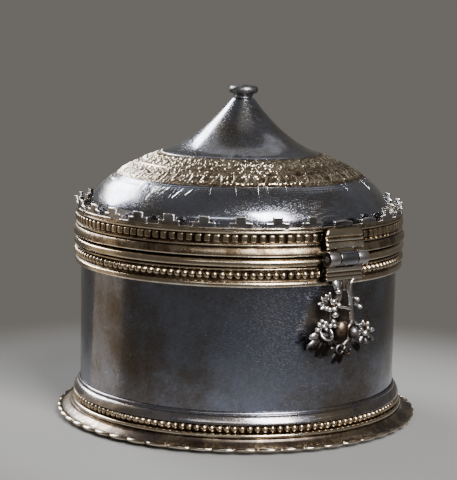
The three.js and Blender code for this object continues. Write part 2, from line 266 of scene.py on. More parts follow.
def add_piece(name, mesh, material, body, nodes=(), sharp=35):
    """Makes the object, in metres, and ties it to its CAD body and nodes."""
    data = bpy.data.meshes.new(name)
    data.from_pydata((mesh.points * MM).tolist(), [], mesh.faces)
    # This value holds real wear and dirt, and in places painted shade and painted sheen.
    for key in ("wear_and_painted_light", "gilding"):
        values = getattr(mesh, key).astype(np.float32)
        data.attributes.new(key, "FLOAT", "POINT").data.foreach_set("value", values)
    work = bmesh.new()
    work.from_mesh(data)
    bmesh.ops.remove_doubles(work, verts=work.verts, dist=1e-7)
    bmesh.ops.recalc_face_normals(work, faces=work.faces)
    work.to_mesh(data)
    work.free()
    data.shade_smooth()
    data.set_sharp_from_angle(angle=math.radians(sharp))
    data.materials.append(material)
    piece = link_object(name, data)
    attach(piece, body)
    if nodes:
        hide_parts(*nodes)


# Materials

class Shader:
    """A material's node tree, with short ways to add nodes."""

    def __init__(self, name):
        self.material = bpy.data.materials.new(name)
        self.material.use_nodes = True
        self.tree = self.material.node_tree
        self.bsdf = self.tree.nodes["Principled BSDF"]
        self.place = self.add("ShaderNodeTexCoord").outputs["Object"]

    def add(self, kind, inputs=(), **settings):
        node = self.tree.nodes.new(kind)
        for key, value in settings.items():
            setattr(node, key, value)
        for key, value in dict(inputs).items():
            if isinstance(value, bpy.types.NodeSocket):
                self.tree.links.new(value, node.inputs[key])
            else:
                node.inputs[key].default_value = value
        return node

    def attribute(self, name):
        return self.add("ShaderNodeAttribute", attribute_name=name).outputs["Fac"]

    def noise(self, size_mm, detail, roughness, stretch=(1, 1, 1), turn=(0, 0, 0)):
        """Noise with features about size_mm across, stretched by the factors."""
        scale = [1 / (size_mm * MM * factor) for factor in stretch]
        mapping = self.add("ShaderNodeMapping", {"Vector": self.place, "Rotation": turn, "Scale": scale})
        inputs = {"Vector": mapping.outputs[0], "Scale": 1.0, "Detail": detail, "Roughness": roughness}
        return self.add("ShaderNodeTexNoise", inputs).outputs["Fac"]

    def math(self, operation, first, second):
        return self.add("ShaderNodeMath", {0: first, 1: second}, operation=operation).outputs[0]

    def plus(self, first, second):
        return self.math("ADD", first, second)

    def scaled(self, value, factor):
        return self.math("MULTIPLY", value, factor)

    def distance(self, place):
        """Distance from a place in metres."""
        inputs = {0: self.place, 1: place}
        return self.add("ShaderNodeVectorMath", inputs, operation="DISTANCE").outputs["Value"]

    def span(self, value, low, high, to_low=0.0, to_high=1.0):
        """Maps low..high to to_low..to_high, smoothly and clamped."""
        inputs = {"Value": value, "From Min": low, "From Max": high, "To Min": to_low, "To Max": to_high}
        return self.add("ShaderNodeMapRange", inputs, interpolation_type="SMOOTHSTEP").outputs[0]

    def ramp(self, value, stops):
        node = self.add("ShaderNodeValToRGB", {"Fac": value})
        elements = node.color_ramp.elements
        while len(elements) < len(stops):
            elements.new(0.5)
        for element, (position, colour) in zip(elements, stops):
            element.position = position
            element.color = (*colour, 1)
        return node.outputs["Color"]

    def mix(self, share, first, second):
        """Blends two colours."""
        return self.add("ShaderNodeMix", {0: share, 6: first, 7: second}, data_type="RGBA").outputs[2]

    def blend(self, share, first, second):
        """Blends two values."""
        return self.add("ShaderNodeMix", {0: share, 2: first, 3: second}).outputs[0]

    def finish(self, colour, roughness, height, depth_mm):
        """Joins colour, roughness and bump to the metal shader."""
        bump = self.add("ShaderNodeBump", {"Strength": 1.0, "Distance": depth_mm * MM, "Height": height})
        self.tree.links.new(colour, self.bsdf.inputs["Base Color"])
        self.tree.links.new(roughness, self.bsdf.inputs["Roughness"])
        self.tree.links.new(bump.outputs[0], self.bsdf.inputs["Normal"])
        self.bsdf.inputs["Metallic"].default_value = 1.0
        return self.material


# Noise: size in millimetres, detail and roughness
SILVER_CLOUD = (15, 6.0, 0.65)
SILVER_GRAIN = (1.2, 5.0, 0.7)
SILVER_SPECKS = (0.5, 2.0, 0.5)
GILT_PATCH = (5, 5.0, 0.65)
GILT_GRAIN = (0.35, 3.0, 0.7)
CAST_PATCH = (4, 4.0, 0.6)
CAST_GRAIN = (0.4, 3.0, 0.7)
WIRE_GRAIN = (0.8, 4.0, 0.7)

# Scratches: width in millimetres, direction and the noise level they start at
SCRATCHES = ((0.22, (0.3, 0.5, 0.9), 0.655), (0.26, (1.2, 0.2, 2.0), 0.665), (0.26, (0.4, 1.4, 0.2), 0.665),
             (0.26, (2.1, 0.9, 1.1), 0.665), (0.26, (0.9, 2.3, 0.5), 0.665))
SCRATCH_STRETCH = (90, 1, 1)
SCRATCH_EDGE = 0.04

# Bump depths in millimetres
SILVER_BUMP = 0.012
GILT_BUMP = 0.05
DOME_BUMP = 0.015
CAST_BUMP = 0.03
WIRE_BUMP = 0.02

# Tones along a level: of tarnish for silver, of wear, dirt and painted light for the others
SILVER_TONES = ((0.36, (0.37, 0.41, 0.53)), (0.48, (0.29, 0.305, 0.37)), (0.58, (0.21, 0.2, 0.205)),
                (0.68, (0.17, 0.14, 0.115)), (0.85, (0.03, 0.025, 0.022)))
SILVER_BRIGHT = (0.78, 0.78, 0.79, 1)
GILT_TONES = ((0.14, (0.010, 0.007, 0.005)), (0.34, (0.10, 0.066, 0.042)), (0.52, (0.39, 0.31, 0.21)),
              (0.78, (0.58, 0.5, 0.385)), (1.0, (0.88, 0.83, 0.75)))
CAST_WARM_TONES = ((0.15, (0.016, 0.010, 0.007)), (0.4, (0.13, 0.09, 0.065)), (0.6, (0.39, 0.32, 0.25)),
                   (1.0, (0.9, 0.86, 0.78)))
CAST_COOL_TONES = ((0.15, (0.016, 0.013, 0.012)), (0.4, (0.13, 0.12, 0.125)), (0.6, (0.38, 0.36, 0.365)),
                   (1.0, (0.9, 0.89, 0.88)))
WIRE_TONES = ((0.3, (0.1, 0.1, 0.108)), (0.7, (0.24, 0.24, 0.25)))

# Brown spots on the wall: angle in degrees, height, reach and strength. The third, behind the hasp, is
# painted shade for the hasp's shadow and dark reflection; the last two darken the low wall.
BROWN_SPOTS = ((199, 31, 17, 0.1), (302, 28, 26, 0.09), (267.5, 36, 12, 0.3), (206, 11, 21, 0.13),
               (272, 11, 24, 0.12))
# A bluer, paler patch in front, painted sheen for a reflected light: angle, height and reach. It also makes
# the silver a little rougher.
BLUE_SPOT = (258, 27, 34)
BLUE_STRENGTH = -0.075
BLUE_HAZE = 0.1
# The wall's silver is a darker copy of the lid's: painted shade for its darker reflections.
DRUM_SHADE = 0.71


def scratches(shader, size_mm, turn, level):
    """Fine straight scratches along one direction, 1 on a scratch."""
    noise = shader.noise(size_mm, 1.0, 0.4, SCRATCH_STRETCH, turn)
    return shader.span(noise, level, level + SCRATCH_EDGE)


def silver_looks(shader, stain_and_painted_light=None, shade=1.0):
    """Colour, roughness and height of tarnished silver. An added level makes it browner and duller, or bluer
    and paler: stains, painted shade and painted sheen. `shade` scales every tone down; below 1 it is painted
    shade.
    """
    wear_and_painted_light = shader.attribute("wear_and_painted_light")
    cloud = shader.noise(*SILVER_CLOUD)
    fine = shader.noise(*SILVER_GRAIN)
    tarnish = shader.plus(shader.scaled(cloud, 0.7), shader.scaled(fine, 0.3))
    if stain_and_painted_light is not None:
        tarnish = shader.plus(tarnish, stain_and_painted_light)
    colour = shader.ramp(tarnish, [(stop, tuple(shade * c for c in tone)) for stop, tone in SILVER_TONES])
    speck = shader.span(shader.noise(*SILVER_SPECKS), 0.695, 0.745)
    bright = shader.math("MAXIMUM", shader.span(wear_and_painted_light, 0.6, 1.0), shader.scaled(speck, 0.6))
    colour = shader.mix(bright, colour, SILVER_BRIGHT)
    lines = scratches(shader, *SCRATCHES[0])
    for scratch in SCRATCHES[1:]:
        lines = shader.math("MAXIMUM", lines, scratches(shader, *scratch))
    roughness = shader.span(tarnish, 0.35, 0.68, 0.08, 0.22)
    roughness = shader.plus(roughness, shader.scaled(lines, 0.12))
    height = shader.math("SUBTRACT", shader.scaled(fine, 0.5), shader.scaled(lines, 0.35))
    return colour, roughness, height


def gilt_looks(shader):
    """Colour, roughness and height of old gilding, brown in recesses and pale on crests."""
    wear_and_painted_light = shader.attribute("wear_and_painted_light")
    patch = shader.noise(*GILT_PATCH)
    grain = shader.noise(*GILT_GRAIN)
    level = shader.plus(wear_and_painted_light, shader.span(patch, 0.3, 0.7, -0.14, 0.14))
    level = shader.plus(level, shader.span(grain, 0.3, 0.7, -0.08, 0.08))
    roughness = shader.span(level, 0.2, 0.8, 0.36, 0.13)
    return shader.ramp(level, GILT_TONES), roughness, shader.scaled(grain, 0.6)


def silver_material():
    shader = Shader("tarnished_silver")
    return shader.finish(*silver_looks(shader), SILVER_BUMP)


def drum_spot(shader, angle, z, reach):
    """1 at a place on the wall and 0 from `reach` on."""
    turn = math.radians(angle)
    distance = shader.distance((WALL * MM * math.cos(turn), WALL * MM * math.sin(turn), z * MM))
    return shader.span(distance, 0.3 * reach * MM, reach * MM, 1.0, 0.0)


def drum_material():
    """Silver with dull brown spots on the wall, the one behind the hasp painted shade, and a bluer, paler,
    hazy patch in front that is painted sheen.
    """
    shader = Shader("stained_silver")
    blue_sheen = drum_spot(shader, *BLUE_SPOT)
    stain_and_painted_light = shader.scaled(blue_sheen, BLUE_STRENGTH)
    for *place, strength in BROWN_SPOTS:
        stain_and_painted_light = shader.plus(stain_and_painted_light, shader.scaled(drum_spot(shader, *place), strength))
    colour, roughness, height = silver_looks(shader, stain_and_painted_light, DRUM_SHADE)
    roughness = shader.plus(roughness, shader.scaled(blue_sheen, BLUE_HAZE))
    return shader.finish(colour, roughness, height, SILVER_BUMP)


def gilt_material():
    shader = Shader("old_gilding")
    return shader.finish(*gilt_looks(shader), GILT_BUMP)


def dome_material():
    """Silver where the gilding value is 0 and old gilding where it is 1."""
    shader = Shader("dome_silver_and_gilding")
    silver_colour, silver_roughness, silver_height = silver_looks(shader)
    gilt_colour, gilt_roughness, gilt_height = gilt_looks(shader)
    share = shader.attribute("gilding")
    colour = shader.mix(share, silver_colour, gilt_colour)
    roughness = shader.blend(share, silver_roughness, gilt_roughness)
    height = shader.blend(share, silver_height, gilt_height)
    return shader.finish(colour, roughness, height, DOME_BUMP)


def cast_material():
    """Cast silver with gilding left in places, dark dirt in the hollows and painted shade on its low and
    down-facing parts.
    """
    shader = Shader("cast_silver_gilt")
    wear_and_painted_light = shader.attribute("wear_and_painted_light")
    patch = shader.noise(*CAST_PATCH)
    grain = shader.noise(*CAST_GRAIN)
    level = shader.plus(wear_and_painted_light, shader.span(grain, 0.3, 0.7, -0.1, 0.1))
    bare = shader.math("SUBTRACT", shader.span(patch, 0.34, 0.52), shader.attribute("gilding"))
    bare = shader.math("MAXIMUM", bare, 0.0)
    colour = shader.mix(bare, shader.ramp(level, CAST_WARM_TONES), shader.ramp(level, CAST_COOL_TONES))
    return shader.finish(colour, shader.span(level, 0.2, 1.0, 0.4, 0.16), grain, CAST_BUMP)


def pin_material():
    shader = Shader("dull_silver_wire")
    tone = shader.noise(*WIRE_GRAIN)
    roughness = shader.span(tone, 0.3, 0.7, 0.28, 0.45)
    return shader.finish(shader.ramp(tone, WIRE_TONES), roughness, tone, WIRE_BUMP)


# Ornament along the mouldings: a row stands on the points at the radius of its ground

BEADS = 144
BEAD_COLUMNS = BEADS * 8
BEAD_RISE = 0.95
BEAD_HALF = 1.1
BEAD_SHARE = 0.47
BEAD_WEAR = 0.6
BEAD_GROUND_WEAR = 0.27
PELLETS = 120
PELLET_COLUMNS = PELLETS * 10
PELLET_RISE = 0.65
PELLET_SHARE = 0.39
PELLET_LOW = 59.25
PELLET_HIGH = 61.45
LID_GROUND = 49.1


def row_place(angle, count):
    """Place along a row of ornaments, from -0.5 to 0.5 over each of them."""
    return np.mod(angle / (TAU / count) + 0.5, 1) - 0.5


def on_ground(radius, ground):
    return np.abs(radius - ground) < 0.01


def bead_row(ground, centre_z):
    """A relief for turned(): round beads side by side."""
    def relief(angle, radius, height):
        across = row_place(angle, BEADS) / BEAD_SHARE
        up = (height - centre_z) / BEAD_HALF
        return on_ground(radius, ground) * BEAD_RISE * np.sqrt(np.clip(1 - across ** 2 - up ** 2, 0, 1))
    return relief


def soften_beads(wear_and_painted_light, z, centre_z):
    """Narrows the range of wear over a bead row."""
    beaded = np.abs(z - centre_z) < BEAD_HALF
    wear_and_painted_light[beaded] = np.clip(wear_and_painted_light[beaded], BEAD_GROUND_WEAR, BEAD_WEAR)


def pellet_row(angle, radius, height):
    """A relief for turned(): square pellets with soft edges."""
    across = np.abs(row_place(angle, PELLETS)) / PELLET_SHARE
    up = np.abs(height - (PELLET_LOW + PELLET_HIGH) / 2) / ((PELLET_HIGH - PELLET_LOW) / 2)
    body = np.clip(1 - across ** 4 - up ** 6, 0, 1) ** 0.5
    return PELLET_RISE * body * on_ground(radius, LID_GROUND)


# Box

DRUM_COLUMNS = 320
DRUM_DENTS = 0.05
FOOT_GROUND = 49.3
FOOT_BEAD_Z = 6.3
FOOT_BEVEL_Z = 7.55
FOOT_FILLET_Z = 9.95
FOOT_LOBES = 52
LOBE_DEPTH = 0.75
LOBE_LIFT = 0.35
BODY_GROUND = 49.1
BODY_BEAD_Z = 50.0


def make_drum():
    floor_edge = bow((SHEET_INNER, SHEET + 2), (SHEET_INNER - 2, SHEET), 0.8, 6)
    profile = path((0, 0), (20, 0), (WALL - 0.4, 0), rise(WALL, 0.4, BOX_TOP - 0.3, 56),
                   (WALL - 0.3, BOX_TOP), (SHEET_INNER + 0.3, BOX_TOP),
                   rise(SHEET_INNER, BOX_TOP - 0.3, SHEET + 2, 12), floor_edge, (20, SHEET), (0, SHEET))

    def dents(angle, radius, height):
        wave = np.sin(3 * angle + 0.08 * height) + 0.7 * np.sin(7 * angle - 0.11 * height + 1)
        wave = wave + 0.5 * np.sin(13 * angle + 0.23 * height + 2) * np.sin(0.19 * height)
        return DRUM_DENTS * wave * (radius > 40) * (height > 0.2) * (height < BOX_TOP - 0.4)

    mesh = turned(profile, DRUM_COLUMNS, dents)[0]
    mesh.wear_and_painted_light[:] = SHEET_WEAR
    return mesh


def foot_lobes(angle):
    """1 in the middle of a lobe of the foot's rim and 0 between two."""
    return np.abs(np.sin(angle * FOOT_LOBES / 2)) ** 0.6


def make_foot_ring():
    """The foot: a lobed rim with a gap under it, a hollow flare, a bead row and a bevel up to the wall."""
    rim = path(bow((52.4, 0.1), (54.0, 1.05), -0.1, 3), bow((54.65, 1.1), (54.7, 1.9), 0.38, 6), (54.4, 2.0),
               (54.2, 1.9))
    flare = path(bow((54.1, 1.85), (50.75, 3.6), -0.5, 10), (50.55, 3.7), (50.35, 3.75))
    fillet = path(bow((50.35, 3.85), (50.3, 5.0), 0.35, 6), (49.6, 5.1))
    beads = rise(FOOT_GROUND, FOOT_BEAD_Z - BEAD_HALF, FOOT_BEAD_Z + BEAD_HALF, 12)
    bevel = path(bow((50.05, 7.6), (48.8, 9.9), 0.22, 7), (48.6, 9.98), (48.56, 10.1),
                 bow((48.68, 10.18), (48.35, 10.9), 0.1, 4), (48.25, 11.0))
    profile = path((BAND_INNER, 0), (50.5, 0), (52.2, 0), rim, flare, fillet, beads, (49.5, 7.48), bevel,
                   (BAND_INNER, 11.0))

    def widen(angle, radius):
        return LOBE_DEPTH * (foot_lobes(angle) - 1) * np.clip((radius - 53.9) / 0.9, 0, 1)

    mesh, radius, z = turned(profile, BEAD_COLUMNS, bead_row(FOOT_GROUND, FOOT_BEAD_Z), True, widen)
    at_rim = np.clip((radius - 54.0) / 0.4, 0, 1).ravel() * (mesh.points[:, 2] > 1.5)
    angle = np.arctan2(mesh.points[:, 1], mesh.points[:, 0])
    mesh.points[:, 2] += at_rim * LOBE_LIFT * (foot_lobes(angle) - 0.6)
    wear_and_painted_light = prominence(radius, 1.3)
    # Painted shade: the hollow flare is set darker, for the dark it reflects.
    wear_and_painted_light[(radius > 50.7) & (radius < 54.25) & (z > 1.7)] = 0.37
    soften_beads(wear_and_painted_light, z, FOOT_BEAD_Z)
    on_bevel = z > FOOT_BEVEL_Z
    # Painted shade: the fillet at the top, against the wall, is darker than the bevel below it.
    wear_and_painted_light[on_bevel] = np.where(z[on_bevel] < FOOT_FILLET_Z, 0.47, 0.3)
    mesh.wear_and_painted_light = wear_and_painted_light.ravel()
    mesh.gilding = np.where(on_bevel, 0.45, np.where(radius > 50.6, 0.9, 1.0)).ravel()
    return mesh


def make_body_band():
    """The band round the mouth: a half-round, a bead row, a thin fillet and a broad half-round."""
    beads = rise(BODY_GROUND, BODY_BEAD_Z - BEAD_HALF - 0.2, BODY_BEAD_Z + BEAD_HALF, 14)
    profile = path((BAND_INNER, 46.4), bow((49.4, 46.5), (49.3, 48.2), 0.5, 8), (49.15, 48.35), (49.1, 48.5),
                   beads, (49.2, 51.2), (49.35, 51.35), bow((49.5, 51.45), (49.5, 52.0), 0.2, 5),
                   (49.25, 52.15), (49.2, 52.3), bow((49.7, 52.4), (49.6, 54.4), 0.55, 10), (49.3, 54.65),
                   (48.8, BOX_TOP), (BAND_INNER, BOX_TOP))
    mesh, radius, z = turned(profile, BEAD_COLUMNS, bead_row(BODY_GROUND, BODY_BEAD_Z), True)
    wear_and_painted_light = prominence(radius, 1.2)
    soften_beads(wear_and_painted_light, z, BODY_BEAD_Z)
    mesh.wear_and_painted_light = wear_and_painted_light.ravel()
    return mesh


# Lid

BAND_OUTER_RADIUS = 37.5
BAND_INNER_RADIUS = 24.0
BAND_EDGE_OUTER = 40.0
BAND_EDGE_INNER = 23.0
BAND_COLUMNS = 1152
BAND_ROWS = 80
BAND_DEPTH = 0.6
REPEATS = 24
STROKE_RISE = 0.22
STROKE_SINK = 0.15
STIPPLE = 0.04
BORDER_LINES = ((38.0, 0.14), (38.6, 0.1), (23.6, 0.1))
BORDER_TICKS = 240
DOME_COLUMNS = 360
DOME_DENTS = 0.035
# Painted sheen on the front of the upper cone, a paler patch in place of light reflected from above: angle,
# spread, start height, fade and strength.
CONE_SHEEN_ANGLE = 241
CONE_SHEEN_SPREAD = 26
CONE_SHEEN_Z = 81
CONE_SHEEN_FADE = 8
CONE_SHEEN_LIFT = 0.42
KNOB_HEIGHT = 4.2
KNOB_COLUMNS = 72


def make_lid_band():
    """The band round the lid's skirt: a broad slope, a thin fillet, the pellets and a top lip."""
    pellets = rise(LID_GROUND, PELLET_LOW - 0.1, PELLET_HIGH + 0.1, 14)
    profile = path((BAND_INNER, LID_BOTTOM), (48.8, LID_BOTTOM), (49.5, LID_BOTTOM + 0.1), (50.05, 55.35),
                   bow((50.2, 55.5), (49.45, 57.85), 0.32, 10), (49.2, 57.95), (49.15, 58.1),
                   bow((49.4, 58.15), (49.4, 58.75), 0.28, 5), (49.15, 58.9), (49.1, 59.0), pellets,
                   (49.2, 61.65), (49.6, 61.72), (49.75, 62.1), (49.65, LEDGE), (BAND_INNER, LEDGE))
    mesh, radius, z = turned(profile, PELLET_COLUMNS, pellet_row, True)
    wear_and_painted_light = prominence(radius, 1.2)
    # Painted shade: the broad slope is set darker, for the dark it reflects.
    wear_and_painted_light[(z > 55.6) & (z < 57.8)] = 0.42
    among = (z > PELLET_LOW) & (z < PELLET_HIGH)
    wear_and_painted_light[among] = np.clip(wear_and_painted_light[among], 0.22, 0.52)
    wear_and_painted_light[z > PELLET_HIGH] = np.minimum(wear_and_painted_light[z > PELLET_HIGH], 0.6)
    mesh.wear_and_painted_light = wear_and_painted_light.ravel()
    return mesh


def leaf(along, up, direction, length, half_width):
    """A curved pointed leaf of the engraving."""
    t = np.linspace(0, 1, 16)
    bend = direction + 0.6 * t
    width = 0.06 + half_width * np.sin(math.pi * t ** 0.7)
    return np.column_stack([along + length * t * np.cos(bend), up + length * t * np.sin(bend), width])


def curl(along, up, start, turns, radius, half_width):
    """A spiral of the engraving that winds in from `radius`."""
    t = np.linspace(0, 1, 90)
    angle = start + TAU * turns * t
    reach = radius * (1 - 0.8 * t)
    width = np.full_like(t, half_width)
    return np.column_stack([along + reach * np.cos(angle), up + reach * np.sin(angle), width])


def engraved_strokes(width, height):
    """One repeat, [along, up, half-width]: upright leaves below and a curling stem above."""
    split = 0.5 * height
    middle = (split + height) / 2
    strokes = []
    for k, place in enumerate((0.08, 0.38, 0.72)):
        foot = place * width
        strokes += [leaf(foot, 0.7, 1.15 - 0.25 * k, split * 0.86, 0.22),
                    curl(foot + 0.14 * width, 0.55 * split + 0.5 * (k % 2), 3.4, -1.2, 0.95, 0.12),
                    leaf(foot + 0.08 * width, 1.2, 2.4, 1.5, 0.14),
                    leaf(foot + 0.16 * width, split - 0.7, -0.7, 1.4, 0.14),
                    curl(foot + 0.2 * width, 0.2 * split, 0.4, 1.1, 0.6, 0.12)]
    t = np.linspace(0, 1, 160)
    dashes = 0.1 + 0.12 * (np.sin(TAU * 9 * t) > -0.2)
    strokes.append(np.column_stack([t * width, np.full_like(t, split), dashes]))
    strokes.append(np.column_stack([t * width, middle + 1.9 * np.sin(TAU * 2 * t), np.full_like(t, 0.14)]))
    for k in range(4):
        side = 1 - 2 * (k % 2)
        centre = (k + 0.5) / 4 * width
        strokes.append(curl(centre, middle + 0.3 * side, math.pi, -1.3 * side, 1.2, 0.13))
        for turn in (0.4, 1.3, 2.2):
            strokes.append(leaf(centre + 0.3, middle - side * 1.6, -side * turn, 1.5, 0.16))
    return np.vstack(strokes)


def engraving_cell(up, columns, width):
    """The engraving over one repeat, from 0 on the ground to 1 on a stroke."""
    strokes = engraved_strokes(width, up.max())
    strokes = np.vstack([strokes + (shift * width, 0, 0) for shift in (-1, 0, 1)])
    along = np.arange(columns) / columns * width
    cell = np.zeros((len(up), columns))
    for row, level in enumerate(up):
        gap = np.hypot(along[:, None] - strokes[:, 0], level - strokes[:, 1]) - strokes[:, 2]
        cell[row] = np.clip(0.5 - gap.min(1) / 0.2, 0, 1)
    return cell


def dome_part(outer, inner, steps):
    """The dome's outer profile between two radii, in even steps."""
    fine = spline(DOME, 900)
    return even_steps(fine[(fine[:, 0] <= outer + 1e-6) & (fine[:, 0] >= inner - 1e-6)], steps)


def make_engraved_band():
    """The dome's middle zone, with engraving on a stippled ground between border lines."""
    outside = dome_part(BAND_EDGE_OUTER, BAND_EDGE_INNER, BAND_ROWS)
    under = outside[[-1, 0]] - BAND_DEPTH * profile_normals(outside)[[-1, 0]]
    profile = np.vstack([outside, under])
    rows = np.flatnonzero((outside[:, 0] < BAND_OUTER_RADIUS) & (outside[:, 0] > BAND_INNER_RADIUS))
    up = arc_lengths(outside)[rows]
    mean_radius = (BAND_OUTER_RADIUS + BAND_INNER_RADIUS) / 2
    cell = engraving_cell(up - up.min(), BAND_COLUMNS // REPEATS, TAU * mean_radius / REPEATS)
    pattern = np.tile(cell, (1, REPEATS))
    stipple = random.normal(0, STIPPLE, pattern.shape)

    def relief(angle, radius, height):
        out = np.zeros_like(radius)
        for line, depth in BORDER_LINES:
            out -= depth * np.exp(-((radius - line) / 0.17) ** 2)
        tick = np.cos(angle * BORDER_TICKS) > 0.3
        out -= 0.07 * tick * (np.abs(radius - 39.2) < 0.3)
        out[rows] += STROKE_RISE * pattern - STROKE_SINK + stipple * (1 - pattern)
        out[-2:] = 0
        return out

    mesh = turned(profile, BAND_COLUMNS, relief, True)[0]
    wear_and_painted_light = np.full((len(profile), BAND_COLUMNS), 0.45)
    wear_and_painted_light[rows] = np.clip(0.4 + 0.5 * pattern + 3 * stipple * (1 - pattern), 0, 1)
    gilding = np.zeros(wear_and_painted_light.shape)
    gilding[rows] = 1
    edge = (outside[:, 0] > BAND_OUTER_RADIUS) & (outside[:, 0] < BAND_OUTER_RADIUS + 0.35)
    gilding[:-2][edge] = 0.5
    mesh.wear_and_painted_light, mesh.gilding = wear_and_painted_light.ravel(), gilding.ravel()
    return mesh


def make_lid_dome():
    """Skirt, ledge and dome in one sheet, a little lower under the engraved band."""
    lower = dome_part(DOME_FOOT, BAND_EDGE_OUTER - 0.05, 26)
    middle = dome_part(BAND_EDGE_OUTER - 0.3, BAND_EDGE_INNER + 0.3, 20)
    middle = middle - 0.35 * profile_normals(middle)
    upper = dome_part(BAND_EDGE_INNER + 0.05, DOME_TIP, 34)
    whole = dome_part(DOME_FOOT, DOME_TIP, 30)
    ceiling = LEDGE - SHEET
    inside = (whole - SHEET * profile_normals(whole))[::-1]
    inside = inside[(inside[:, 0] > 1.0) & (inside[:, 1] > ceiling)]
    profile = path((0, inside[0][1]), inside, (DOME_FOOT - SHEET, ceiling), (SHEET_INNER, ceiling),
                   rise(SHEET_INNER, ceiling - 0.2, LID_BOTTOM, 4), (WALL, LID_BOTTOM),
                   rise(WALL, LID_BOTTOM + 0.2, LEDGE, 4), (46.6, LEDGE), lower, middle, upper,
                   (0, upper[-1][1]))
    start = len(profile) - 1 - len(lower) - len(middle) - len(upper)

    def dents(angle, radius, height):
        wave = np.sin(5 * angle + 0.2 * radius) + np.sin(11 * angle - 0.33 * radius + 1)
        away = np.clip(np.abs(radius - 31.5) - 9.5, 0, 3) / 3
        outer = (np.arange(len(profile)) >= start)[:, None]
        return DOME_DENTS * wave * outer * away * np.clip(radius / 20, 0, 1)

    mesh = turned(profile, DOME_COLUMNS, dents)[0]
    x, y, z = mesh.points.T
    angle = np.degrees(np.arctan2(y, x)) % 360
    # Paler silver on the front of the upper cone: painted sheen.
    cone_sheen = np.exp(-((angle - CONE_SHEEN_ANGLE) / CONE_SHEEN_SPREAD) ** 2)
    mesh.wear_and_painted_light = SHEET_WEAR + CONE_SHEEN_LIFT * cone_sheen * np.clip((z - CONE_SHEEN_Z) / CONE_SHEEN_FADE, 0, 1)
    return mesh


def make_knob():
    profile = path((0, 0), (2.6, 0), bow((2.75, 0.1), (2.85, 0.7), -0.1, 3),
                   bow((2.95, 0.8), (3.6, 1.35), -0.15, 4), bow((3.7, 1.4), (3.4, 3.7), 0.85, 14),
                   bow((3.2, 3.78), (1.9, 3.85), -0.1, 5), bow((1.7, 3.88), (0, 4.17), 0.03, 6))
    mesh = turned(profile + (0, KNOB_TOP - KNOB_HEIGHT), KNOB_COLUMNS)[0]
    mesh.wear_and_painted_light[:] = 0.45
    return mesh


# Cresting

MERLONS = 30
MERLON_PHASE = math.radians(7.8)
MERLON_RADIUS = 49.05
MERLON_HALF = 3.3
MERLON_TOP_HALF = 1.55
MERLON_SHOULDER = 1.45
MERLON_HEIGHT = 3.1
MERLON_SINK = 0.5
MERLON_THICKNESS = 0.85
MERLON_GILDING = 0.4
BENT_MERLONS = {12: 14, 13: 9, 17: 6, 26: -5}
WORN_MERLONS = {22, 23, 25}
STRIP_TOP = CREST_Z + 0.95
STRIP_COLUMNS = 600
STRIP_GILDING = 0.9


def merlon_outline(index, top_half, height):
    """The stepped outline of a merlon, [x, z], or what is left of a worn one."""
    foot = [(-MERLON_HALF, -MERLON_SINK), (MERLON_HALF, -MERLON_SINK)]
    left = (-MERLON_HALF, MERLON_SHOULDER)
    if index in WORN_MERLONS:
        return foot + [(MERLON_HALF, MERLON_SHOULDER * 0.7), (0.6, MERLON_SHOULDER * 1.15), left]
    return foot + [(MERLON_HALF, MERLON_SHOULDER), (top_half, MERLON_SHOULDER + 0.05), (top_half, height),
                   (-top_half, height), (-top_half, MERLON_SHOULDER - 0.05), left]


def merlon(index):
    """One merlon with softened edges, at its place on the strip."""
    top_half = MERLON_TOP_HALF * random.uniform(0.9, 1.08)
    height = MERLON_HEIGHT * random.uniform(0.93, 1.04)
    work = bmesh.new()
    corners = [(x, -MERLON_THICKNESS / 2, z) for x, z in merlon_outline(index, top_half, height)]
    face = work.faces.new([work.verts.new(corner) for corner in corners])
    made = bmesh.ops.extrude_face_region(work, geom=[face])["geom"]
    front = [v for v in made if isinstance(v, bmesh.types.BMVert)]
    bmesh.ops.translate(work, verts=front, vec=(0, MERLON_THICKNESS, 0))
    bmesh.ops.recalc_face_normals(work, faces=work.faces)
    bmesh.ops.bevel(work, geom=list(work.edges), offset=0.3, segments=3, affect="EDGES", profile=0.6)
    broad = sorted(work.faces, key=lambda f: f.calc_area())[-2:]
    bmesh.ops.inset_region(work, faces=broad, thickness=0.25, depth=-0.08)
    work.verts.index_update()
    points = np.array([v.co for v in work.verts])
    faces = [[v.index for v in f.verts] for f in work.faces]
    # Edges are paler, more so towards the top, partly edge wear and partly painted highlight; the broad
    # faces are darker.
    wear_and_painted_light = np.clip(0.85 + 0.08 * points[:, 2] / height, 0, 1)
    wear_and_painted_light[[v.index for f in broad for v in f.verts]] = 0.42
    work.free()
    lean = math.radians(BENT_MERLONS.get(index, 0) + random.uniform(-3, 3))
    tilt = math.radians(random.uniform(-2, 2))
    place = (spin(MERLON_PHASE + TAU * index / MERLONS, "Z")
             @ Matrix.Translation((MERLON_RADIUS, 0, CREST_Z + 0.9))
             @ spin(lean, "Y") @ spin(tilt, "X") @ spin(math.pi / 2, "Z"))
    return Mesh(points, faces, wear_and_painted_light, MERLON_GILDING).moved(place)


def make_cresting():
    profile = path((48.6, CREST_Z), (49.5, CREST_Z), rise(49.6, CREST_Z + 0.1, STRIP_TOP - 0.15, 3),
                   (49.45, STRIP_TOP), (48.75, STRIP_TOP), (48.6, STRIP_TOP - 0.15))

    def ragged(angle, radius, height):
        wave = np.sin(MERLONS * (angle - MERLON_PHASE) + math.pi) * 0.5
        wave = wave + 0.3 * np.sin(47 * angle) + 0.2 * np.sin(83 * angle)
        return 0.12 * wave * (height > CREST_Z + 0.5)

    strip = turned(profile, STRIP_COLUMNS, ragged, True)[0]
    crest = strip.points[:, 2] > STRIP_TOP - 0.12
    strip.wear_and_painted_light = np.clip(0.5 + 0.35 * crest + random.normal(0, 0.05, len(strip.points)), 0, 1)
    strip.gilding[:] = STRIP_GILDING
    return joined([strip] + [merlon(k) for k in range(MERLONS)])


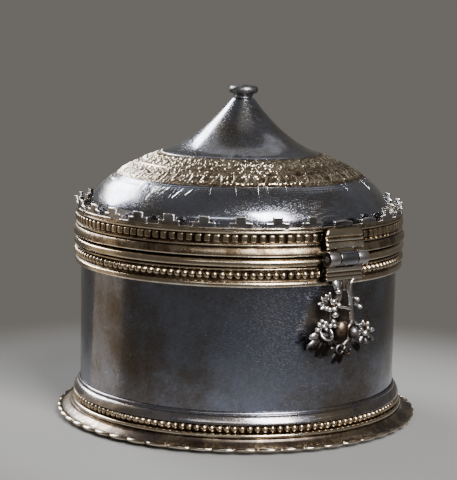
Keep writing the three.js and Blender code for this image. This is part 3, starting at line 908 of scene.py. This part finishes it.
# Strokes on the dome

MARKS = 11
MARK_START = 257.5
MARK_PITCH = 1.1
MARK_SLANT = 0.7
RAYS = 44
RAY_FOOT = 38.9
TICKS = 34
TICK_FOOT = 37.2
STROKE_SINK_MM = 0.005
STROKE_DEPTH = 0.05


def dome_point(angle, radius, lift):
    """A point on the dome at an angle and radius, lifted along the normal."""
    curve = spline(DOME, 300)
    order = np.argsort(curve[:, 0])
    columns = (curve[:, 1], *profile_normals(curve).T)
    z, normal_out, normal_up = (np.interp(radius, curve[order, 0], column[order]) for column in columns)
    out = radius + lift * normal_out
    return np.column_stack([out * np.cos(angle), out * np.sin(angle), z + lift * normal_up])


def dome_stroke(angle_start, angle_end, radius_start, radius_end, width):
    """A shallow tapering stroke between two places on the dome."""
    t = np.linspace(0, 1, 9)
    angle = np.radians(angle_start + (angle_end - angle_start) * t)
    radius = radius_start + (radius_end - radius_start) * t
    taper = np.sin(math.pi * np.clip(t, 0.04, 0.96)) ** 0.6
    across = np.column_stack([-np.sin(angle), np.cos(angle), 0 * angle])
    return loft(dome_point(angle, radius, -STROKE_SINK_MM), width * taper, STROKE_DEPTH * taper, 6, across)


def make_dome_strokes():
    """A short row of plain marks, and rays and ticks across the border of the engraved band."""
    strokes = []
    uniform = random.uniform
    for k in range(MARKS):
        start = MARK_START + MARK_PITCH * k
        strokes.append(dome_stroke(start, start + MARK_SLANT, 43.8 - uniform(0, 0.4),
                                   42.0 + uniform(-0.5, 0.5), 0.1))
    for _ in range(RAYS):
        start = uniform(182, 218)
        strokes.append(dome_stroke(start, start - uniform(1.5, 4), RAY_FOOT, RAY_FOOT + uniform(1.5, 4.2),
                                   uniform(0.05, 0.09)))
    for _ in range(TICKS):
        start = uniform(150, 330)
        strokes.append(dome_stroke(start, start + uniform(-1, 1), TICK_FOOT, 39.6 + uniform(0, 1.2),
                                   uniform(0.06, 0.1)))
    mesh = joined(strokes)
    mesh.wear_and_painted_light[:] = 1.0
    return mesh


# Hinges

BACK = 1
FRONT = -1
KNUCKLE = 2.1
KNUCKLE_SOFT = 0.22
KNUCKLE_WEAR = 0.62
BORE = 0.93
PIN = 0.85
PIN_PROUD = 0.3
BARREL_HALF = 6.8
MIDDLE_HALF = 3.0
KNUCKLE_GAP = 0.25
LEAF_HALF = 6.3
LEAF_CORNER = 1.2
FRONT_PLATE_HALF = 6.7
PLATE_BACK = 50.5
HASP_BACK = 50.65
BOX_LEAF_BACK = 50.3
WEB_TOP = 57.9
WEB_TAPER = 0.6
WEB_FOOT = 52.0
WEB_DROP = 0.4
WEB_START = 3.3
RIVET_X = 4
ALONG_X = spin(math.pi / 2, "Y")


def knuckle(start, end, side, z):
    """A hollow barrel piece along X with softened ends."""
    shoulder = KNUCKLE - 0.06
    profile = [(BORE, start), (KNUCKLE - KNUCKLE_SOFT, start), (shoulder, start + 0.07),
               (KNUCKLE, start + KNUCKLE_SOFT), (KNUCKLE, end - KNUCKLE_SOFT), (shoulder, end - 0.07),
               (KNUCKLE - KNUCKLE_SOFT, end), (BORE, end)]
    mesh = rounded(profile, Matrix.Translation((0, side * HINGE_OUT, z)) @ ALONG_X, 48, True)
    mesh.wear_and_painted_light[:] = KNUCKLE_WEAR
    # Painted shade: the end faces of each knuckle are darker.
    mesh.wear_and_painted_light[np.isclose(mesh.points[:, 0], start) | np.isclose(mesh.points[:, 0], end)] = 0.2
    return mesh


def middle_knuckle(side, z):
    return knuckle(-MIDDLE_HALF, MIDDLE_HALF, side, z)


def outer_knuckles(side, z):
    start = MIDDLE_HALF + KNUCKLE_GAP
    return [knuckle(start, BARREL_HALF, side, z), knuckle(-BARREL_HALF, -start, side, z)]


def end_stations(half, corner):
    """Places along X, close together at both round ends."""
    end = half - corner + corner * np.sin(np.linspace(0, math.pi / 2, 7))
    return np.concatenate([-end[::-1], end])


def round_plate(outline, half, corner, side, above):
    """A bar whose outline drops in a round at its two ends, from a height on."""
    def change(x, section):
        past = max(0.0, abs(x) - (half - corner)) / corner
        drop = corner * (1 - math.sqrt(max(0.0, 1 - past ** 2)))
        section[:, 1] -= drop * np.clip((section[:, 1] - above) / corner, 0, 1)
        section[:, 0] -= 0.35 * past ** 4 * (section[:, 0] > PLATE_BACK + 0.3)
        return section

    return bar(outline, end_stations(half, corner), side, change)


def shaded_ends(plate, half, reach):
    """A factor on the wear value, low at a plate's two ends: painted shade on the end faces."""
    return np.where(np.abs(plate.points[:, 0]) > half - reach, 0.2, 1.0)


def upper_web(side, z):
    """The web from a plate on the lid down to its middle knuckle."""
    outline = [(PLATE_BACK, z), (HINGE_OUT, z), (HINGE_OUT - WEB_TAPER, WEB_TOP), (PLATE_BACK, WEB_TOP)]
    return bar(outline, (-MIDDLE_HALF, MIDDLE_HALF), side)


def lower_webs(side, back, front, top_out, z):
    """The two webs from a lower plate up to its outer knuckles."""
    top = z - WEB_DROP
    outline = [(back, WEB_FOOT), (front, WEB_FOOT), (top_out, top), (back + WEB_DROP, top)]
    return [bar(outline, ends, side) for ends in ((-LEAF_HALF, -WEB_START), (WEB_START, LEAF_HALF))]


def rivet(x, out, z):
    """A low domed rivet head on the back of a leaf."""
    profile = path((0, -0.3), (0.85, -0.3), bow((0.85, 0), (0, 0.42), 0.12, 5))
    mesh = rounded(profile, Matrix.Translation((x, out, z)) @ spin(-math.pi / 2, "X"), 24)
    mesh.wear_and_painted_light[:] = 0.75
    return mesh


def make_hasp_plate():
    """The ridged plate on the lid band, with the middle knuckle of the hasp's hinge."""
    outline = path((PLATE_BACK, 57.1), (52.0, 57.1), bow((52.2, 57.15), (52.1, 59.2), 0.55, 7),
                   (51.75, 59.35), bow((52.0, 59.45), (52.05, 60.25), 0.35, 5), (51.7, 60.35),
                   bow((51.8, 60.45), (51.2, 63.2), 0.7, 9), (PLATE_BACK, 63.4))
    plate = round_plate(outline, FRONT_PLATE_HALF, 1.8, FRONT, 61.2)
    ridge = (plate.points[:, 2] > 59.4) & (plate.points[:, 2] < 60.3)
    plate.wear_and_painted_light = np.clip(0.56 + (-plate.points[:, 1] - 52.0) * 0.5 + 0.25 * ridge, 0.1, 0.95)
    # Painted shade at the plate's two ends.
    plate.wear_and_painted_light *= shaded_ends(plate, FRONT_PLATE_HALF, 0.12)
    web = upper_web(FRONT, HASP_AXIS_Z)
    plate.gilding[:] = 1.0
    web.gilding[:] = 1.0
    return joined([plate, web, middle_knuckle(FRONT, HASP_AXIS_Z)])


def make_lid_leaf():
    outline = path((PLATE_BACK, 57.4), (51.6, 57.4), bow((51.8, 57.5), (51.8, 61.4), 0.25, 6), (51.5, 61.8),
                   (PLATE_BACK, 61.8))
    plate = round_plate(outline, LEAF_HALF, LEAF_CORNER, BACK, 60.4)
    rivets = [rivet(x, 51.9, 59.8) for x in (-RIVET_X, RIVET_X)]
    return joined([plate, upper_web(BACK, LID_AXIS_Z), middle_knuckle(BACK, LID_AXIS_Z)] + rivets)


def make_box_leaf():
    front = 51.7
    outline = path((BOX_LEAF_BACK, 48), (51.2, 48), bow((51.5, 48.3), (front, 52.6), 0.2, 6),
                   (BOX_LEAF_BACK, 52.6))
    plate = bar(outline, end_stations(LEAF_HALF, LEAF_CORNER), BACK)
    webs = lower_webs(BACK, BOX_LEAF_BACK, front, HINGE_OUT, LID_AXIS_Z)
    rivets = [rivet(x, 51.65, 50.2) for x in (-RIVET_X, RIVET_X)]
    return joined([plate] + webs + outer_knuckles(BACK, LID_AXIS_Z) + rivets)


def make_pin(side, z):
    """The hinge wire with rounded ends."""
    reach = BARREL_HALF + PIN_PROUD
    profile = path((0, -reach), bow((0.05, -reach), (PIN, -reach + 0.35), 0.1, 4), (PIN, reach - 0.35),
                   bow((PIN, reach - 0.35), (0.05, reach), 0.1, 4), (0, reach))
    return rounded(profile, Matrix.Translation((0, side * HINGE_OUT, z)) @ ALONG_X, 32)


# Hasp

FOLIAGE_OUT = 50.8
FUSE_MM = 0.15
BERRY = (0.8, 33.9)
BERRY_REACH = 2.4
BALL = (3.95, 33.1)
BALL_RADIUS = 1.7
# Painted shade over the casting's lower part: strength, top height and fade.
LOW_SHADE = 0.6
LOW_SHADE_TOP = 32.4
LOW_SHADE_FADE = 3.6

# Stems: [x, out, z] points, then half-widths and half-depths along them
STEMS = (
    (((0.2, 51.1, 49), (0.3, 51.3, 47.4), (0.3, 51.2, 45.2)), (3.6, 2.6, 1.9), (0.7, 0.7, 0.6)),
    (((5.2, 51.6, 48.9), (3.6, 52.1, 48.4), (2.4, 52.2, 47.2), (2.4, 51.9, 45.2), (3, 51.5, 42.6)),
     (0.35, 0.45, 0.45, 0.4, 0.3), (0.4, 0.45, 0.4)),
    (((-1.6, 51.1, 48.4), (-1.8, 51.6, 46.6), (-1.3, 51.6, 44), (-2.0, 51.2, 41.4), (-2.8, 51, 38.8),
      (-3.4, 50.9, 36.4), (-5.2, 50.9, 34)), (2.0, 1.3, 1.1, 1.0, 1.0, 0.9, 0.9), (0.8, 0.9, 0.9, 0.8)),
    (((1.8, 50.9, 48.4), (2.1, 51.3, 46.6), (2.8, 51.4, 43.6), (3.4, 51, 40.6), (3.8, 50.9, 37.6),
      (3.9, 50.9, 34.6), (3.2, 50.9, 31.4), (1.2, 50.9, 29.2)), (2.0, 0.95, 0.85, 0.9, 0.9, 0.8),
     (0.8, 0.9, 0.8)),
    (((-1.6, 51.2, 40.6), (0.7, 51.7, 40.3), (3.6, 51.3, 39.5)), (0.5, 0.5, 0.5), (0.5, 0.6, 0.5)),
    (((3.8, 50.9, 36.6), (5.8, 50.9, 34.8), (7.8, 50.9, 33)), (0.8, 0.8, 0.8), (0.8, 0.8, 0.8)),
    (((-4.6, 50.8, 32), (-2.6, 50.8, 30.4), (-0.2, 50.8, 29.2)), (0.9, 0.9, 0.9), (0.7, 0.7, 0.7)),
    (((3.9, 51.6, 36), (2.5, 52, 35.1), (1.8, 52, 33.2), (2.1, 51.8, 31.3)), (0.4, 0.5, 0.5, 0.35),
     (0.5, 0.5, 0.5)),
)

# Petals: [direction in degrees, length, width]
LEFT_SKIRT = ((186, 5.2, 2.6), (214, 7.0, 3.0), (246, 6.9, 3.0), (271, 6.7, 2.9), (300, 5.0, 2.6))
RIGHT_BUNCH = ((128, 3.7, 1.5), (104, 3.9, 1.5), (68, 3.5, 1.5), (14, 3.6, 1.6), (-36, 4.0, 1.7),
               (-72, 3.5, 1.7), (-126, 3.2, 1.6), (172, 2.6, 1.5))
LOWER_SKIRT = ((241, 5.8, 2.4), (270, 5.4, 2.4))
LOWER_LEAF = ((-44, 5.6, 2.5),)
LACE = ((98, 3.6, 1.2), (124, 3.6, 1.2), (150, 4.2, 1.2), (174, 4.7, 1.2), (197, 3.9, 1.2))
SIDE_LEAVES = ((-22, 2.8, 1.3), (-44, 4.7, 1.5))

# Small round lobes: [x, z, out, size]
CROWN = ((-8.0, 36.3, 1.0, 0.8), (-6.9, 37.1, 0.8, 0.75), (-6.6, 35.7, 1.3, 0.85), (-5.9, 36.6, 1.1, 0.75),
         (-4.4, 35.6, 1.3, 0.85), (-3.2, 36.7, 1.1, 0.95), (-2.8, 35.5, 1.2, 0.85), (-8.7, 34.8, 1.1, 0.85))
RIGHT_DOTS = ((8.2, 32.3, 1.3, 1.15), (6.9, 33.6, 1.1, 0.8), (9.3, 33.6, 1.1, 0.8), (9.4, 31.2, 1.1, 0.85),
              (7.1, 31.0, 1.0, 0.8))
LOWER_DOT = ((-3.3, 29.0, 0.7, 0.8),)
CLUSTER = ((-3.4, 42.4, 1.2, 1.2), (-1.5, 41.2, 1.2, 0.95), (-3.2, 40.3, 1.3, 1.05), (-4.6, 40.3, 1.1, 0.95),
           (-5.6, 40.6, 0.9, 0.9), (-2.7, 38.6, 1.2, 1.1), (-2.0, 45.2, 1.5, 1.0), (5.4, 42.3, 0.8, 0.8),
           (6.4, 40.1, 0.8, 0.9))


def on_front(points):
    """[x, out, z] points as places in front of the drum."""
    return np.array(points, float) * (1, -1, 1)


def stem(points, widths, depths, steps=24):
    """A smooth tapering branch through the points."""
    spine = spline(on_front(points), steps)
    t = np.linspace(0, 1, steps + 1)
    wide, deep = (np.interp(t, np.linspace(0, 1, len(sizes)), sizes) for sizes in (widths, depths))
    return loft(spine, wide, deep, 12)


def tongue(x, z, direction, length, width, lift, curl_out):
    """A round-tipped petal that swells by `lift` and curls out at its tip."""
    neck = 0.62
    tip_turn = np.linspace(0, math.pi / 2, 8)[1:]
    t = np.concatenate([np.linspace(0, neck, 9), neck + 0.38 * np.sin(tip_turn)])
    angle = math.radians(direction)
    out = FOLIAGE_OUT + lift * np.sin(math.pi * t * 0.6) + curl_out * t ** 3
    reach = length * t
    spine = on_front(np.column_stack([x + reach * math.cos(angle), out, z + reach * math.sin(angle)]))
    tip = np.sqrt(np.clip(1 - (np.clip(t - neck, 0, None) / 0.385) ** 2, 0.01, 1))
    swell = (0.4 + 0.6 * np.clip(t / neck, 0, 1) ** 0.8) * tip
    return loft(spine, 0.5 * width * swell, 0.55 * tip, 10)


def hook(x, z, start, radius, thick):
    """A round curl, open on one side, on the front of the casting."""
    t = np.linspace(0, 1, 25)
    turn = np.radians(start + 285 * t)
    reach = radius * np.linspace(1.15, 0.75, 25)
    out = FOLIAGE_OUT + 0.8 + 0.5 * t
    spine = on_front(np.column_stack([x + reach * np.cos(turn), out, z + reach * np.sin(turn)]))
    return loft(spine, np.full(25, thick), np.full(25, thick), 10)


def pellet(x, out, z, across, deep, high):
    turn = np.linspace(-math.pi / 2, math.pi / 2, 13)
    profile = np.column_stack([np.cos(turn), np.sin(turn)])
    return rounded(profile, Matrix.Translation((x, -out, z)) @ Matrix.Diagonal((across, deep, high, 1)), 24)


def cup(x, z, direction, size):
    """A small bowl with a thick lip that opens outwards and in a direction."""
    profile = path((0, -1.2), bow((0.2, -1.2), (2.1, 0.5), 0.4, 6), bow((2.2, 0.6), (1.5, 0.6), 0.38, 5),
                   bow((1.4, 0.45), (0.1, -0.5), -0.25, 5), (0, -0.5)) * size
    angle = math.radians(direction)
    axis = Vector((0.75 * math.cos(angle), -1, 0.75 * math.sin(angle)))
    turn = axis.to_track_quat("Z", "Y").to_matrix().to_4x4()
    return rounded(profile, Matrix.Translation((x, -FOLIAGE_OUT - 0.9, z)) @ turn, 32)


def petals(x, z, fan, lift, curl_out):
    return [tongue(x, z, *petal, lift, curl_out) for petal in fan]


def buds(places):
    return [pellet(x, FOLIAGE_OUT + out, z, size, 0.9 * size, 0.85 * size) for x, z, out, size in places]


def left_blossom():
    """A cup over a skirt of broad petals, with a crown of small lobes."""
    x, z = -5.9, 33.2
    return [cup(x, z, 80, 1.15)] + petals(x, z, LEFT_SKIRT, 1.0, -0.7) + buds(CROWN)


def right_blossom():
    """A bunch of narrow petals round a bud."""
    return petals(8.1, 32.4, RIGHT_BUNCH, 1.0, 0.5) + buds(RIGHT_DOTS)


def lower_blossom():
    """Two curls over hanging petals, and a plain leaf beside them."""
    curls = [hook(-0.6, 28.3, 60, 1.15, 0.5), hook(2.1, 27.8, 120, 1.1, 0.48)]
    hanging = petals(-0.1, 29.4, LOWER_SKIRT, 0.8, -0.6) + petals(3.6, 31.0, LOWER_LEAF, 0.3, -0.4)
    return curls + hanging + buds(LOWER_DOT)


def foliage_pieces():
    branches = [stem(*sizes) for sizes in STEMS]
    berry = pellet(BERRY[0], FOLIAGE_OUT + 0.2, BERRY[1], 2.3, 1.5, 2.6)
    ball = pellet(BALL[0], FOLIAGE_OUT + 1.3, BALL[1], BALL_RADIUS, BALL_RADIUS, BALL_RADIUS)
    leaves = petals(-3.8, 41.6, LACE, 0.3, 0.2) + petals(3.0, 43.2, SIDE_LEAVES, 0.4, 0.2)
    blossoms = left_blossom() + right_blossom() + lower_blossom()
    return branches + [berry, ball] + buds(CLUSTER) + leaves + blossoms


def relaxed(points, edges, rounds):
    """Points moved towards the mean of their neighbours."""
    count = np.maximum(np.bincount(edges.ravel(), minlength=len(points)), 1)[:, None]
    for _ in range(rounds):
        total = np.zeros_like(points)
        np.add.at(total, edges[:, 0], points[edges[:, 1]])
        np.add.at(total, edges[:, 1], points[edges[:, 0]])
        points = 0.5 * points + 0.5 * total / count
    return points


def near(points, place, reach):
    """Points within reach of an [x, z] place, seen from the front."""
    return np.hypot(points[:, 0] - place[0], points[:, 2] - place[1]) < reach


def fused(meshes):
    """Closed bodies melted into one casting, with wear where it is convex, dirt in the hollows and painted
    shade on down-facing and low parts.
    """
    whole = joined(meshes)
    data = bpy.data.meshes.new("casting")
    data.from_pydata(whole.points.tolist(), [], whole.faces)
    work = link_object("casting", data)
    remesh = work.modifiers.new("fuse", "REMESH")
    remesh.mode = "VOXEL"
    remesh.voxel_size = FUSE_MM
    result = work.evaluated_get(bpy.context.evaluated_depsgraph_get()).to_mesh()
    points = np.array([v.co for v in result.vertices])
    faces = [tuple(f.vertices) for f in result.polygons]
    edges = np.array([e.vertices[:] for e in result.edges])
    normals = np.array([v.normal for v in result.vertices])
    bpy.data.objects.remove(work)
    points = relaxed(points, edges, 3)
    hollow = np.sum((relaxed(points, edges, 24) - points) * normals, 1)
    # Hollows are darker with dirt; down-facing faces and the lower part of the casting are darker as painted
    # shade.
    wear_and_painted_light = 0.48 - hollow / 0.2 + 0.3 * np.minimum(normals[:, 2], 0)
    wear_and_painted_light -= LOW_SHADE * np.clip((LOW_SHADE_TOP - points[:, 2]) / LOW_SHADE_FADE, 0, 1)
    berry = near(points, BERRY, BERRY_REACH)
    ball = near(points, BALL, BALL_RADIUS)
    return Mesh(points, faces, np.clip(wear_and_painted_light - 0.25 * (berry | ball), 0, 1), berry & ~ball)


def make_hasp():
    outline = path((HASP_BACK, 48.2), (51.9, 48.2), bow((52.1, 48.3), (52.1, 49.3), 0.3, 5), (51.8, 49.4),
                   bow((51.9, 49.5), (51.95, 50.4), 0.3, 5), (51.75, 50.5),
                   bow((51.85, 50.6), (51.9, 52.2), 0.5, 7), (HASP_BACK, 52.4))
    plate = round_plate(outline, FRONT_PLATE_HALF, 1.0, FRONT, 60)
    plate.wear_and_painted_light = np.clip(0.5 + (-plate.points[:, 1] - 51.9) * 0.6, 0.3, 0.95)
    # Painted shade at the plate's two ends.
    plate.wear_and_painted_light *= shaded_ends(plate, FRONT_PLATE_HALF, 0.5)
    plate.gilding[:] = 1.0
    webs = lower_webs(FRONT, HASP_BACK, 52.2, HINGE_OUT - WEB_DROP, HASP_AXIS_Z)
    return joined([plate] + webs + outer_knuckles(FRONT, HASP_AXIS_Z) + [fused(foliage_pieces())])


# Scene: metres and degrees. A light's azimuth is to the right of the camera.

CAMERA_AZIMUTH = -34.8
CAMERA_DISTANCE = 0.505
CAMERA_HEIGHT = 0.126
CAMERA_PITCH = 8.25
CAMERA_YAW = 0.357
CAMERA_ROLL = 1.114
LENS_MM = 125.1

# Name, azimuth, elevation, distance, size, power and colour
LIGHTS = (("window", -136, 29, 1.2, (0.72, 0.5), 23, (0.98, 0.99, 1.0)),
          ("soft_front", 28, 35, 1.1, (0.44, 0.8), 32, (1.0, 0.98, 0.96)),
          ("strip", -8, 30, 1.3, (1.0, 0.14), 2.0, (1.0, 0.98, 0.95)),
          ("rear", 182, 56, 1.2, (1.3, 0.5), 0.9, (1.0, 0.98, 0.96)),
          ("card", -83, -14, 0.09, (0.047, 0.1), 0.0074, (1.0, 0.79, 0.55)))
LIGHT_TARGET = Vector((0, 0, 0.06))

BACKGROUND = (0.155, 0.146, 0.133)
FLOOR_REACH = 40.0
FLOOR_TONE = (0.235, 0.235, 0.235)
FLOOR_FADE = (0.07, 0.17)
PALE_CENTRE = (-0.001, -0.011, 0.0)


def add_camera():
    data = bpy.data.cameras.new("camera")
    data.lens = LENS_MM
    data.sensor_width = 36.0
    data.clip_start = 0.01
    camera = link_object("camera", data)
    azimuth = math.radians(CAMERA_AZIMUTH)
    x, y = CAMERA_DISTANCE * math.sin(azimuth), -CAMERA_DISTANCE * math.cos(azimuth)
    turn = (spin(azimuth + math.radians(CAMERA_YAW), "Z") @ spin(math.radians(90 - CAMERA_PITCH), "X")
            @ spin(math.radians(CAMERA_ROLL), "Z"))
    camera.matrix_world = Matrix.Translation((x, y, CAMERA_HEIGHT)) @ turn
    bpy.context.scene.camera = camera


def add_light(name, azimuth, elevation, distance, size, power, colour):
    """A soft rectangular light, aimed at the object and out of the camera's sight."""
    data = bpy.data.lights.new(name, "AREA")
    data.shape = "RECTANGLE"
    data.size, data.size_y = size
    data.energy = power
    data.color = colour
    light = link_object(name, data)
    turn = math.radians(CAMERA_AZIMUTH + azimuth)
    tilt = math.radians(elevation)
    away = Vector((math.cos(tilt) * math.sin(turn), -math.cos(tilt) * math.cos(turn), math.sin(tilt)))
    light.location = LIGHT_TARGET + distance * away
    light.rotation_euler = (LIGHT_TARGET - light.location).to_track_quat("-Z", "Y").to_euler()
    light.visible_camera = False


def add_floor():
    """A floor pale round the object and black further out, where it glows with the background's grey: a
    painted pool of light on a painted glow.
    """
    data = bpy.data.meshes.new("floor")
    corners = [(FLOOR_REACH * x, FLOOR_REACH * y, 0) for x, y in ((-1, -1), (1, -1), (1, 1), (-1, 1))]
    data.from_pydata(corners, [], [(0, 1, 2, 3)])
    floor = link_object("floor", data)
    shader = Shader("pale_floor")
    far = shader.span(shader.distance(PALE_CENTRE), *FLOOR_FADE)
    colour = shader.ramp(far, [(0.0, FLOOR_TONE), (1.0, (0.0, 0.0, 0.0))])
    shader.tree.links.new(colour, shader.bsdf.inputs["Base Color"])
    # Painted glow: further from the object the floor emits the background's grey.
    shader.tree.links.new(far, shader.bsdf.inputs["Emission Strength"])
    shader.bsdf.inputs["Emission Color"].default_value = (*BACKGROUND, 1)
    shader.bsdf.inputs["Specular IOR Level"].default_value = 0.0
    shader.bsdf.inputs["Roughness"].default_value = 0.9
    data.materials.append(shader.material)


def add_world():
    world = bpy.data.worlds.new("studio")
    bpy.context.scene.world = world
    world.use_nodes = True
    background = world.node_tree.nodes["Background"]
    background.inputs["Color"].default_value = (*BACKGROUND, 1)
    background.inputs["Strength"].default_value = 1.0


silver = silver_material()
stained = drum_material()
gilt = gilt_material()
cast = cast_material()
wire = pin_material()
dome = dome_material()

add_piece("drum_wall", make_drum(), stained, "box", ["drum"])
add_piece("foot_moulding", make_foot_ring(), dome, "box", ["foot_ring"])
add_piece("body_moulding", make_body_band(), gilt, "box", ["body_band"])
add_piece("ogee_lid", leaning(make_lid_dome()), silver, "lid", ["lid_dome"])
add_piece("lid_engraving", leaning(make_engraved_band()), dome, "lid")
add_piece("lid_marks", make_dome_strokes(), silver, "lid")
add_piece("lid_moulding", make_lid_band(), gilt, "lid", ["lid_band"])
add_piece("crest", make_cresting(), dome, "lid", ["cresting"], 50)
add_piece("lid_knob", leaning(make_knob()), wire, "lid", ["knob"])
add_piece("hasp_upper_plate", make_hasp_plate(), dome, "lid", ["hasp_plate"])
add_piece("hasp_casting", make_hasp(), cast, "hasp", ["hasp"])
add_piece("hasp_wire", make_pin(FRONT, HASP_AXIS_Z), wire, "lid", ["hasp_pin"])
add_piece("hinge_upper_leaf", make_lid_leaf(), gilt, "lid", ["lid_leaf"])
add_piece("hinge_lower_leaf", make_box_leaf(), gilt, "box", ["box_leaf"])
add_piece("hinge_wire", make_pin(BACK, LID_AXIS_Z), wire, "box", ["hinge_pin"])

add_camera()
for light in LIGHTS:
    add_light(*light)
add_floor()
add_world()
